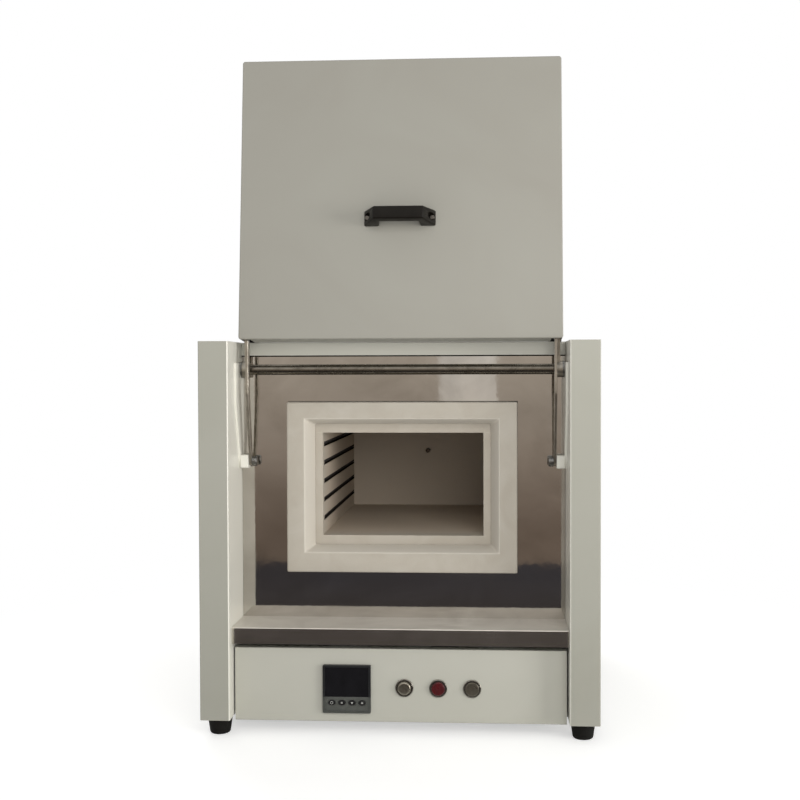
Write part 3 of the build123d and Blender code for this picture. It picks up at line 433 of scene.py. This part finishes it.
def soften(piece, width, steps):
    """Rounds the sharp edges and shades the rest smooth."""
    use(
        piece, "BEVEL", width=width, segments=steps, limit_method="ANGLE", angle_limit=sharp_angle,
        harden_normals=False,
    )
    smooth(piece)


def settle(piece, body, slot, *nodes):
    """Puts a finished piece on its body in place of the CAD nodes that it stands for."""
    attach(piece, body)
    if nodes:
        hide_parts(*nodes)


sharp_angle = math.radians(35.0)
square_on = 0.9
mouth_half_width = 0.149
mouth_half_height = 0.1025
mouth_middle_z = 0.369
seat_narrowing = 0.91
seat_blend = 0.0015
collar_overlap = 0.0004
collar_rounding = 0.0026
collar_low, collar_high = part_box("muffle_collar")
collar = block("collar_board", collar_low, collar_high)
mouth = block(
    "mouth_cutter",
    (-mouth_half_width, collar_low.y - collar_overlap, mouth_middle_z - mouth_half_height),
    (mouth_half_width, collar_high.y + collar_overlap, mouth_middle_z + mouth_half_height),
)
draw_in(
    mouth, lambda normal: normal.y > square_on, (seat_narrowing, 1, seat_narrowing),
    (0, collar_high.y, mouth_middle_z),
)
cut(collar, mouth)
soften(collar, collar_rounding, 4)

seat_fibre_lit = fibre_board("seat_fibre_lit")
seat_tree = seat_fibre_lit.node_tree
seat_axes = object_axes(seat_tree)
seat_aside = maths(seat_tree, "ABSOLUTE", seat_axes["X"])
seat_level = maths(seat_tree, "SUBTRACT", seat_axes["Z"], mouth_middle_z)
seat_above = maths(seat_tree, "ABSOLUTE", seat_level)
seat_edge = maths(
    seat_tree, "MAXIMUM",
    maths(seat_tree, "SUBTRACT", seat_aside, mouth_half_width),
    maths(seat_tree, "SUBTRACT", seat_above, mouth_half_height),
)
# Painted light: the recess walls, inside the mouth's outline, are tinted paler.
tint(
    seat_fibre_lit, tone(194, 188, 177),
    ramp(seat_tree, seat_edge, start=seat_blend, end=0.0, shape="SMOOTHSTEP"),
)
give(collar, seat_fibre_lit)
settle(collar, "housing", "fibre", "muffle_collar")

# Lid, folded to fit between the cheeks, and control panel, a channel that closes the front below the
# sill: steel sheet with the casing's coat, painted a shade lighter as painted light.
panel_paint_lit = powder_coat("panel_paint_lit", tone(182, 181, 171), tone(178, 177, 166), tone(196, 194, 186))
dress(panel_paint_lit, "top_cover", "control_panel")

# Flange shadow strip: a narrow dark strip, in the black rubber finish, under the lid's front flange,
# where the flange meets the polished plate. It is painted shadow.
lid_low, lid_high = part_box("top_cover")
shadow_strip_height = 0.0020
shadow_strip_depth = 0.0009
shadow_strip_bite = 0.0001
shadow_strip_rounding = 0.0003
flange_shadow_strip = block(
    "flange_shadow_strip", (lid_low.x, lid_low.y + shadow_strip_bite, lid_low.z - shadow_strip_height),
    (lid_high.x, lid_low.y + shadow_strip_bite + shadow_strip_depth, lid_low.z + shadow_strip_bite),
)
soften(flange_shadow_strip, shadow_strip_rounding, 2)
give(flange_shadow_strip, foot_rubber)
settle(flange_shadow_strip, "housing", "foot_rubber")


# Door stops: two black rubber buffers on the lid, behind the open slots at the raised door's lower
# corners. Each is a moulded block with a sloped back, one made and copied to the other side.
def twin(piece, offset):
    """A copy of the piece with its own mesh, moved by the offset."""
    made = piece.copy()
    made.data = piece.data.copy()
    bpy.context.scene.collection.objects.link(made)
    made.data.transform(Matrix.Translation(offset))
    return made


def join(pieces, name):
    """Makes one piece of several."""
    select_only(pieces[0])
    for piece in pieces:
        piece.select_set(True)
    bpy.ops.object.join()
    pieces[0].name = name
    return pieces[0]


stop_x = 0.2345
stop_half_width = 0.0100
stop_set_back = 0.0020
stop_depth = 0.0110
stop_height = 0.0125
stop_slope = 0.6
stop_rounding = 0.0012
stop_front = lid_low.y + stop_set_back
left_stop = block(
    "left_stop", (-stop_x - stop_half_width, stop_front, lid_high.z),
    (-stop_x + stop_half_width, stop_front + stop_depth, lid_high.z + stop_height),
)
draw_in(
    left_stop, lambda normal: normal.z > square_on, (1, stop_slope, 1), (-stop_x, stop_front, lid_high.z),
)
soften(left_stop, stop_rounding, 3)
door_stops = join([left_stop, twin(left_stop, (2 * stop_x, 0, 0))], "door_stops")
give(door_stops, foot_rubber)
settle(door_stops, "housing", "foot_rubber")


# Heating elements: resistance wire, scaled dark grey by heat. Each groove holds one spiral of it,
# wound on a mandrel, with a straight doubled tail that goes out through the back wall.
def rod(name, sides, half_width, half_height, front, rear, x=0.0, z=0.0):
    """A round or oval rod that runs from front to rear, to be shaped further."""
    bpy.ops.mesh.primitive_cylinder_add(
        vertices=sides, radius=1, depth=rear - front, location=(x, (front + rear) / 2, z),
        rotation=lying,
    )
    bpy.context.object.name = name
    bpy.context.object.scale = (half_width, half_height, 1)
    return fix_place()


lying = (math.pi / 2, 0, 0)
spiral_radius = 0.0023
wire_radius = 0.0007
wire_sides = 5
wind = 0.0040
wind_steps = 9
spiral_front = -0.1965
spiral_rear = 0.2300
tail_rear = 0.2750
tail_radius = 0.0016
groove_x = 0.131
groove_middle_z = 0.372
groove_pitch = 0.029
groove_rows = 5
element_wire = finish(
    "element_wire", tone(52, 48, 45), tone(36, 33, 31), tone(78, 72, 66),
    rough=0.62, rough_spread=0.1, grain_size=0.0015, relief=0.00015, wear_radius=0.0008,
    mottle_scale=40.0,
)
dress(element_wire, "heating_elements")
bpy.ops.mesh.primitive_circle_add(
    vertices=wire_sides, radius=wire_radius, location=(spiral_radius, 0, 0), rotation=lying,
)
spiral = fix_place()
use(
    spiral, "SCREW", angle=2 * math.pi, steps=wind_steps, render_steps=wind_steps, screw_offset=wind,
    iterations=int((spiral_rear - spiral_front) / wind), use_smooth_shade=True,
)
spiral.data.transform(Matrix.Translation((0, spiral_front, 0)) @ Matrix.Rotation(-math.pi / 2, 4, "X"))
tail = rod("element_tail", 12, tail_radius, tail_radius, spiral_rear - wind, tail_rear)
one_element = join([spiral, tail], "element_spiral")
windings = []
for side in (-1, 1):
    for row in range(groove_rows):
        height = groove_middle_z + (row - (groove_rows - 1) / 2) * groove_pitch
        windings.append(twin(one_element, (side * groove_x, 0, height)))
bpy.data.objects.remove(one_element)
heating_coils = join(windings, "heating_coils")
give(heating_coils, element_wire)
settle(heating_coils, "housing", "element_wire", "heating_elements")

# Terminal beads: pressed and fired steatite, unglazed and cream coloured.
# They are bushes for the element tails where these leave the inner casing.
bead_ceramic = finish(
    "bead_ceramic", tone(222, 216, 200), tone(206, 199, 182), tone(232, 228, 216),
    rough=0.55, rough_spread=0.06, grain_size=0.001, relief=0.00003, wear_radius=0.0008,
    mottle_scale=60.0,
)
dress(bead_ceramic, "terminal_beads")

# Thermocouple: a probe in a thin closed steel sheath, tinted brown by heat. It is pushed in
# from the back, up to its round head, and its tip stands in the chamber.
probe_steel = finish(
    "probe_steel", tone(112, 102, 92), tone(78, 68, 60), tone(140, 132, 122),
    rough=0.42, rough_spread=0.08, grain_size=0.0012, relief=0.00003, wear_radius=0.0008,
    mottle_scale=50.0, metallic=1.0,
)
dress(probe_steel, "thermocouple")

# Wall plates with the lower pivot blocks, one on each cheek's inner wall: steel, welded up,
# bolted on, and coated together with the cheeks.
# The cheeks' finish also lays its painted light, the paler inner tint, on these plates and blocks.
dress(cheek_paint_lit_inside, "pivot_brackets")

# Lift arms: flat bars of ground stainless steel, satin, with bright edges. The lower pair, cranked
# forward past the cross shaft, turns on the pivot bolts; the upper pair is fixed on the shaft.
arm_steel = finish(
    "arm_steel", tone(190, 184, 173), tone(150, 143, 132), tone(214, 210, 200),
    rough=0.34, rough_spread=0.06, grain_size=0.0008, relief=0.00001, wear_radius=0.0006,
    mottle_scale=26.0, metallic=1.0,
)
dress(arm_steel, "left_lower_arm", "right_lower_arm", "left_upper_arm", "right_upper_arm")

# Cross shaft: drawn round bar, oiled and smoother than the arms. Its darker, browner tone is
# painted shade, for the dark surroundings that it reflects.
# It runs in a bearing on each cheek and makes both upper arms swing as one.
shaft_steel_shaded = finish(
    "shaft_steel_shaded", tone(134, 127, 116), tone(104, 98, 88), tone(176, 171, 161),
    rough=0.26, rough_spread=0.06, grain_size=0.0008, relief=0.00001, wear_radius=0.0006,
    mottle_scale=26.0, metallic=1.0,
)
dress(shaft_steel_shaded, "cross_shaft")

# Door panel: a pan of folded sheet, its bottom edge cut away where the arms come in. It has the
# casing's coat, painted a little darker and warmer as painted shade.
door_paint_shaded = powder_coat("door_paint_shaded", tone(147, 145, 136), tone(143, 140, 131), tone(168, 166, 158))
dress(door_paint_shaded, "door_panel")

# Handle screws: pan heads of steel, deep in the handle's ends. Their dark tone is painted shade.
# They are driven through the bow and tapped into the door panel.
screw_shaded = finish(
    "screw_shaded", tone(112, 106, 99), tone(84, 79, 73), tone(150, 145, 138),
    rough=0.26, rough_spread=0.05, grain_size=0.0006, relief=0.00001, wear_radius=0.0005,
    mottle_scale=60.0, metallic=1.0,
)
dress(screw_shaded, "handle_screws")

# Handle: a bow moulded from black plastic. Its ends slope down to the door, and each has a deep hole
# for its screw. It is shaped with the door upright and then leaned back with it.
door_face_y = -0.3225
handle_middle_z = 0.347
bow_half_length = 0.0545
grip_half_length = 0.0370
bow_stand_off = 0.0420
bow_half_height = 0.0095
foot_half_height = 0.0120
finger_room = 0.0250
finger_half_length = 0.0290
finger_half_foot = 0.0335
screw_hole_x = 0.0485
screw_hole_radius = 0.0056
screw_seat = 0.0050
bow_rounding = 0.0024
lean_back = math.radians(-6.0)
raised_pin = Vector((0, -0.25875, 0.62392))
closed_pin = Vector((0, -0.30576, 0.19808))
black_plastic = finish(
    "black_plastic", tone(22, 19, 14), tone(17, 14, 10), tone(50, 45, 39),
    rough=0.42, rough_spread=0.06, grain_size=0.0007, relief=0.00003, wear_radius=0.0012,
    mottle_scale=24.0, specular=0.16,
)
handle_foot = (0, door_face_y, handle_middle_z)
bow_front = door_face_y - bow_stand_off
bow = block(
    "handle_bow",
    (-bow_half_length, bow_front, handle_middle_z - bow_half_height),
    (bow_half_length, door_face_y, handle_middle_z + bow_half_height),
)
end_slope = Vector((bow_stand_off, grip_half_length - bow_half_length, 0)).normalized()
for side in (-1, 1):
    pick(bow, lambda normal: True)
    bpy.ops.mesh.bisect(
        plane_co=(side * grip_half_length, bow_front, handle_middle_z),
        plane_no=(side * end_slope.x, end_slope.y, 0), use_fill=True, clear_outer=True,
    )
    leave_edit()
draw_in(bow, lambda normal: normal.y > square_on, (1, 1, foot_half_height / bow_half_height), handle_foot)
gap = block(
    "finger_cutter",
    (-finger_half_foot, door_face_y - finger_room, handle_middle_z - 2 * bow_half_height),
    (finger_half_foot, door_face_y + finger_room, handle_middle_z + 2 * bow_half_height),
)
draw_in(
    gap, lambda normal: normal.y < -square_on, (finger_half_length / finger_half_foot, 1, 1), handle_foot,
)
cut(bow, gap)
soften(bow, bow_rounding, 4)
for side in (-1, 1):
    cut(bow, rod(
        "screw_hole", 40, screw_hole_radius, screw_hole_radius, bow_front - screw_seat,
        door_face_y - screw_seat, side * screw_hole_x, handle_middle_z,
    ))
smooth(bow)
bow.data.transform(
    Matrix.Translation(raised_pin) @ Matrix.Rotation(lean_back, 4, "X") @ Matrix.Translation(-closed_pin)
)
give(bow, black_plastic)
settle(bow, "door", "black_plastic", "handle")

# Controller case and electrical fittings: black moulded plastic, as the handle's, clipped or screwed in.
# The gland is where the mains cord would enter.
dress(black_plastic, "controller_case", "cable_gland", "power_relay", "terminal_block")

# Controller front: a moulded frame behind one printed foil, near black round the window
# and dark grey round the keys, with a faint smear of dust on the foil.
foil_split_z = 0.0585
foil_blend = 0.0004
controller_foil = finish(
    "controller_foil", tone(70, 72, 68), tone(60, 62, 59), tone(110, 111, 107),
    rough=0.36, rough_spread=0.06, grain_size=0.0006, relief=0.00001, wear_radius=0.0006,
    mottle_scale=40.0,
)
foil_tree = controller_foil.node_tree
foil_upper = ramp(
    foil_tree, object_axes(foil_tree)["Z"], foil_split_z - foil_blend, foil_split_z + foil_blend,
)
tint(controller_foil, tone(27, 28, 30), foil_upper)
dress(controller_foil, "controller_bezel")

# Display: a window of dark tinted plastic, polished, set flush in the foil's upper part.
# Nothing is lit behind it.
display_dark = finish(
    "display_dark", tone(23, 23, 26), tone(18, 18, 21), tone(44, 44, 47),
    rough=0.10, rough_spread=0.03, grain_size=0.004, relief=0.00001, wear_radius=0.0005,
    mottle_scale=30.0,
)
dress(display_dark, "display_window")

# Key strip: the foil's lower part, a strip of grey plastic in the controller's frame,
# with four oval holes punched in it for the keys.
key_row_z = 0.0498
key_row_x = -0.0786
key_step = 0.0152
key_half_width = 0.0053
key_half_height = 0.0039
key_gap = 0.0003
key_sides = 40
hole_overrun = 0.001
strip_rounding = 0.0002
key_count = 4
key_places = [key_row_x + (number - (key_count - 1) / 2) * key_step for number in range(key_count)]
strip_grey = finish(
    "strip_grey", tone(80, 82, 78), tone(70, 72, 68), tone(108, 110, 106),
    rough=0.42, rough_spread=0.05, grain_size=0.0006, relief=0.00001, wear_radius=0.0005,
    mottle_scale=40.0,
)
strip_low, strip_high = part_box("key_strip")
keypad = block("keypad_strip", strip_low, strip_high)
for x in key_places:
    cut(keypad, rod(
        "key_hole", key_sides, key_half_width + key_gap, key_half_height + key_gap,
        strip_low.y - hole_overrun, strip_high.y + hole_overrun, x, key_row_z,
    ))
soften(keypad, strip_rounding, 2)
give(keypad, strip_grey)
settle(keypad, "housing", "strip_grey", "key_strip")

# Keys: black rubber ovals that stand in the strip's holes, each with a dished face and a pale
# printed sign: a ring, and arrows to the left, down and up.
key_rim = 0.0009
key_dish = 0.0004
key_rounding = 0.0003
sign_radius = 0.0019
sign_line = sign_radius / 7
sign_rise = 0.00012
sign_turns = (None, math.pi, -math.pi / 2, math.pi / 2)
key_plastic = finish(
    "key_plastic", tone(24, 24, 25), tone(18, 18, 19), tone(52, 52, 53),
    rough=0.34, rough_spread=0.05, grain_size=0.0005, relief=0.00001, wear_radius=0.0004,
    mottle_scale=80.0,
)
key_print = finish(
    "key_print", tone(196, 196, 192), tone(170, 170, 166), tone(150, 150, 146),
    rough=0.5, rough_spread=0.05, grain_size=0.0003, relief=0.00001, wear_radius=0.0002,
    mottle_scale=400.0,
)
for number, (x, turn) in enumerate(zip(key_places, sign_turns), start=1):
    node = f"key_{number}"
    key_low, key_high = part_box(node)
    key = rod(
        f"{node}_cap", key_sides, key_half_width, key_half_height, key_low.y, key_high.y, x, key_row_z,
    )
    pick(key, lambda normal: normal.y < -square_on)
    bpy.ops.mesh.inset(thickness=key_rim)
    bpy.ops.transform.translate(value=(0, key_dish, 0))
    leave_edit()
    soften(key, key_rounding, 2)
    give(key, key_plastic)
    sign_y = key_low.y + key_dish
    sign_place = (x, sign_y, key_row_z)
    if turn is None:
        bpy.ops.mesh.primitive_torus_add(
            major_segments=32, minor_segments=8, major_radius=sign_radius, minor_radius=sign_line,
            location=sign_place, rotation=lying,
        )
        sign = fix_place()
    else:
        sign = rod(
            "arrow", 3, sign_radius, sign_radius, sign_y - sign_rise, sign_y + sign_rise, x, key_row_z,
        )
        lie = Matrix.Translation(sign_place)
        sign.data.transform(lie @ Matrix.Rotation(math.pi / 2 - turn, 4, "Y") @ lie.inverted())
    give(sign, key_print)
    settle(join([key, sign], f"{node}_cap"), f"{node}_body", "key_plastic", node)

# Push buttons: bright plated bezels screwed into the panel, with two turned silver caps
# and a red moulded one between them.
bezel_metal = finish(
    "bezel_metal", tone(176, 173, 166), tone(146, 142, 134), tone(214, 212, 206),
    rough=0.2, rough_spread=0.05, grain_size=0.0008, relief=0.00001, wear_radius=0.0006,
    mottle_scale=50.0, metallic=1.0,
)
dress(bezel_metal, "button_bezels")
silver_cap = finish(
    "silver_cap", tone(176, 170, 157), tone(136, 130, 118), tone(210, 206, 196),
    rough=0.30, rough_spread=0.05, grain_size=0.0008, relief=0.00001, wear_radius=0.0006,
    mottle_scale=50.0, metallic=1.0,
)
dress(silver_cap, "power_button", "start_button")
red_cap = finish(
    "red_cap", tone(86, 20, 24), tone(60, 12, 16), tone(128, 46, 48),
    rough=0.28, rough_spread=0.05, grain_size=0.0006, relief=0.00001, wear_radius=0.0006,
    mottle_scale=50.0,
)
dress(red_cap, "stop_button")

# Relay heatsink: extruded aluminium with fins, cut to length and left bare.
# It stands in the electrical bay and carries the relay.
heatsink_metal = finish(
    "heatsink_metal", tone(188, 188, 186), tone(166, 166, 164), tone(214, 214, 212),
    rough=0.34, rough_spread=0.05, grain_size=0.0009, relief=0.00002, wear_radius=0.0006,
    mottle_scale=30.0, metallic=1.0,
)
dress(heatsink_metal, "relay_heatsink")

# Floor: pale sweep paper under the furnace that runs on into a white background.
# It keeps the furnace's soft shadow close in and is plain white farther out.
floor_reach = 9.0
shadow_reach = 0.46
white_reach = 1.1
paper_brightness = 0.49
bpy.ops.mesh.primitive_plane_add(size=2 * floor_reach, location=(0, 0, 0))
floor = bpy.context.object
floor.name = "floor"
floor_paper = bpy.data.materials.new("floor_paper")
floor_paper.use_nodes = True
paper = floor_paper.node_tree
matt = paper.nodes["Principled BSDF"]
matt.inputs["Base Color"].default_value = (0.72, 0.72, 0.71, 1)
matt.inputs["Roughness"].default_value = 0.95
white = add(paper, "ShaderNodeEmission", Color=(1, 1, 1, 1), Strength=1.0)
glow = add(paper, "ShaderNodeEmission", Color=(1, 1, 1, 1))
glance = add(paper, "ShaderNodeLightPath")
spot = add(paper, "ShaderNodeTexCoord")
away = add(paper, "ShaderNodeVectorMath", operation="LENGTH")
near = add(paper, "ShaderNodeAddShader")
ground = add(paper, "ShaderNodeMixShader")
fade = ramp(paper, away.outputs["Value"], shadow_reach, white_reach, shape="SMOOTHSTEP")
lift = maths(paper, "MULTIPLY", glance.outputs["Is Camera Ray"], paper_brightness)
wire(
    paper,
    (spot.outputs["Object"], away.inputs[0]),
    (fade, ground.inputs["Fac"]),
    (lift, glow.inputs["Strength"]),
    (matt.outputs[0], near.inputs[0]),
    (glow.outputs[0], near.inputs[1]),
    (near.outputs[0], ground.inputs[1]),
    (white.outputs[0], ground.inputs[2]),
    (ground.outputs[0], paper.nodes["Material Output"].inputs["Surface"]),
)
give(floor, floor_paper)


# Studio flags: a dark cloth on the floor and two screens in front of the furnace, a wide beige one and a
# narrow bright one. Only gloss sees them: they give the polished sheet something to reflect and take
# no light away.
def flag(name, size, place, turn, low_colour, high_colour, reach):
    """A flat panel for reflections, shaded from its lower to its upper edge and faintly creased."""
    bpy.ops.mesh.primitive_plane_add(size=1, location=place, rotation=turn)
    panel = bpy.context.object
    panel.name = name
    panel.scale = (*size, 1)
    panel.visible_camera = False
    panel.visible_diffuse = False
    panel.visible_shadow = False
    cloth = bpy.data.materials.new(name)
    cloth.use_nodes = True
    tree = cloth.node_tree
    glow = add(tree, "ShaderNodeEmission")
    shades = add(tree, "ShaderNodeMix", data_type="RGBA", A=low_colour, B=high_colour)
    crease = object_noise(tree, Scale=2.2, Detail=2.0)
    climb = ramp(tree, object_axes(tree)["Y"], start=-reach, end=reach, shape="SMOOTHSTEP")
    unevenness = ramp(tree, crease.outputs["Fac"], start=0.3, end=0.7, low=0.82, high=1.12)
    wire(
        tree,
        (climb, shades.inputs["Factor"]),
        (shades.outputs["Result"], glow.inputs["Color"]),
        (unevenness, glow.inputs["Strength"]),
        (glow.outputs[0], tree.nodes["Material Output"].inputs["Surface"]),
    )
    give(panel, cloth)


upright = (math.pi / 2, 0, 0)
flag(
    "floor_cloth", size=(5.0, 1.22), place=(0, -1.05, 0.004), turn=(0, 0, 0),
    low_colour=tone(66, 64, 68), high_colour=tone(74, 68, 64), reach=0.5,
)
flag(
    "bright_screen", size=(0.16, 1.3), place=(0.08, -1.65, 0.65), turn=upright,
    low_colour=tone(214, 206, 196), high_colour=tone(250, 248, 244), reach=0.3,
)
flag(
    "front_screen", size=(5.0, 0.80), place=(0, -1.66, 0.40), turn=upright,
    low_colour=tone(122, 108, 97), high_colour=tone(206, 195, 182), reach=0.42,
)


# Light: an even white surround and three large soft lamps. The strongest rakes across the front from low
# on the right, and the polished parts show it; a weak one stands in front, and one lights the back.
def soft_box(name, size, energy, place, aim, in_gloss):
    """A large soft lamp, which gloss may show or not."""
    data = bpy.data.lights.new(name, "AREA")
    data.size = size
    data.energy = energy
    data.color = (1.0, 0.985, 0.955)
    lamp = bpy.data.objects.new(name, data)
    lamp.location = place
    lamp.rotation_euler = (Vector(aim) - lamp.location).to_track_quat("-Z", "Y").to_euler()
    lamp.visible_glossy = in_gloss
    bpy.context.scene.collection.objects.link(lamp)


world = bpy.data.worlds.new("studio")
bpy.context.scene.world = world
world.use_nodes = True
sky = world.node_tree
fill = sky.nodes["Background"]
fill.inputs["Color"].default_value = (0.985, 0.99, 1.0, 1)
fill.inputs["Strength"].default_value = 0.50
shown = add(sky, "ShaderNodeBackground", Color=(1, 1, 1, 1), Strength=1.0)
ray = add(sky, "ShaderNodeLightPath").outputs
choice = add(sky, "ShaderNodeMixShader")
wire(
    sky,
    (maths(sky, "MAXIMUM", ray["Is Camera Ray"], ray["Is Glossy Ray"]), choice.inputs["Fac"]),
    (fill.outputs[0], choice.inputs[1]),
    (shown.outputs[0], choice.inputs[2]),
    (choice.outputs[0], sky.nodes["World Output"].inputs["Surface"]),
)
soft_box("right_lamp", 1.4, 74.0, (3.6, -2.1, 0.60), (-0.1, -0.25, 0.2), in_gloss=True)
soft_box("front_lamp", 1.1, 18.0, (0.5, -2.1, 0.98), (0, -0.3, 0.2), in_gloss=False)
soft_box("rear_lamp", 2.4, 60.0, (-1.4, 3.0, 2.2), (0, 0.1, 0.4), in_gloss=False)

# Camera: at the photographer's height, a little to the right of the middle, turned slightly left.
# Its lens is given by its focal length in pixels of the 800-pixel frame.
focal_px = 1128.4
frame_px = 800.0
sensor_mm = 36.0
middle_px = 420.7
yaw, pitch, roll = math.radians(3.33), math.radians(1.32), math.radians(-0.14)
camera_data = bpy.data.cameras.new("camera")
camera_data.sensor_width = sensor_mm
camera_data.lens = focal_px * sensor_mm / frame_px
camera_data.shift_x = -(middle_px - frame_px / 2) / frame_px
camera_data.clip_end = 30.0
camera = bpy.data.objects.new("camera", camera_data)
camera.location = (0.1295, -1.9603, 0.5398)
level = Matrix.Rotation(yaw, 3, "Z") @ Matrix.Rotation(math.pi / 2 - pitch, 3, "X")
camera.rotation_euler = (level @ Matrix.Rotation(roll, 3, "Z")).to_euler()
bpy.context.scene.collection.objects.link(camera)
bpy.context.scene.camera = camera
bpy.context.scene.view_settings.view_transform = "Standard"
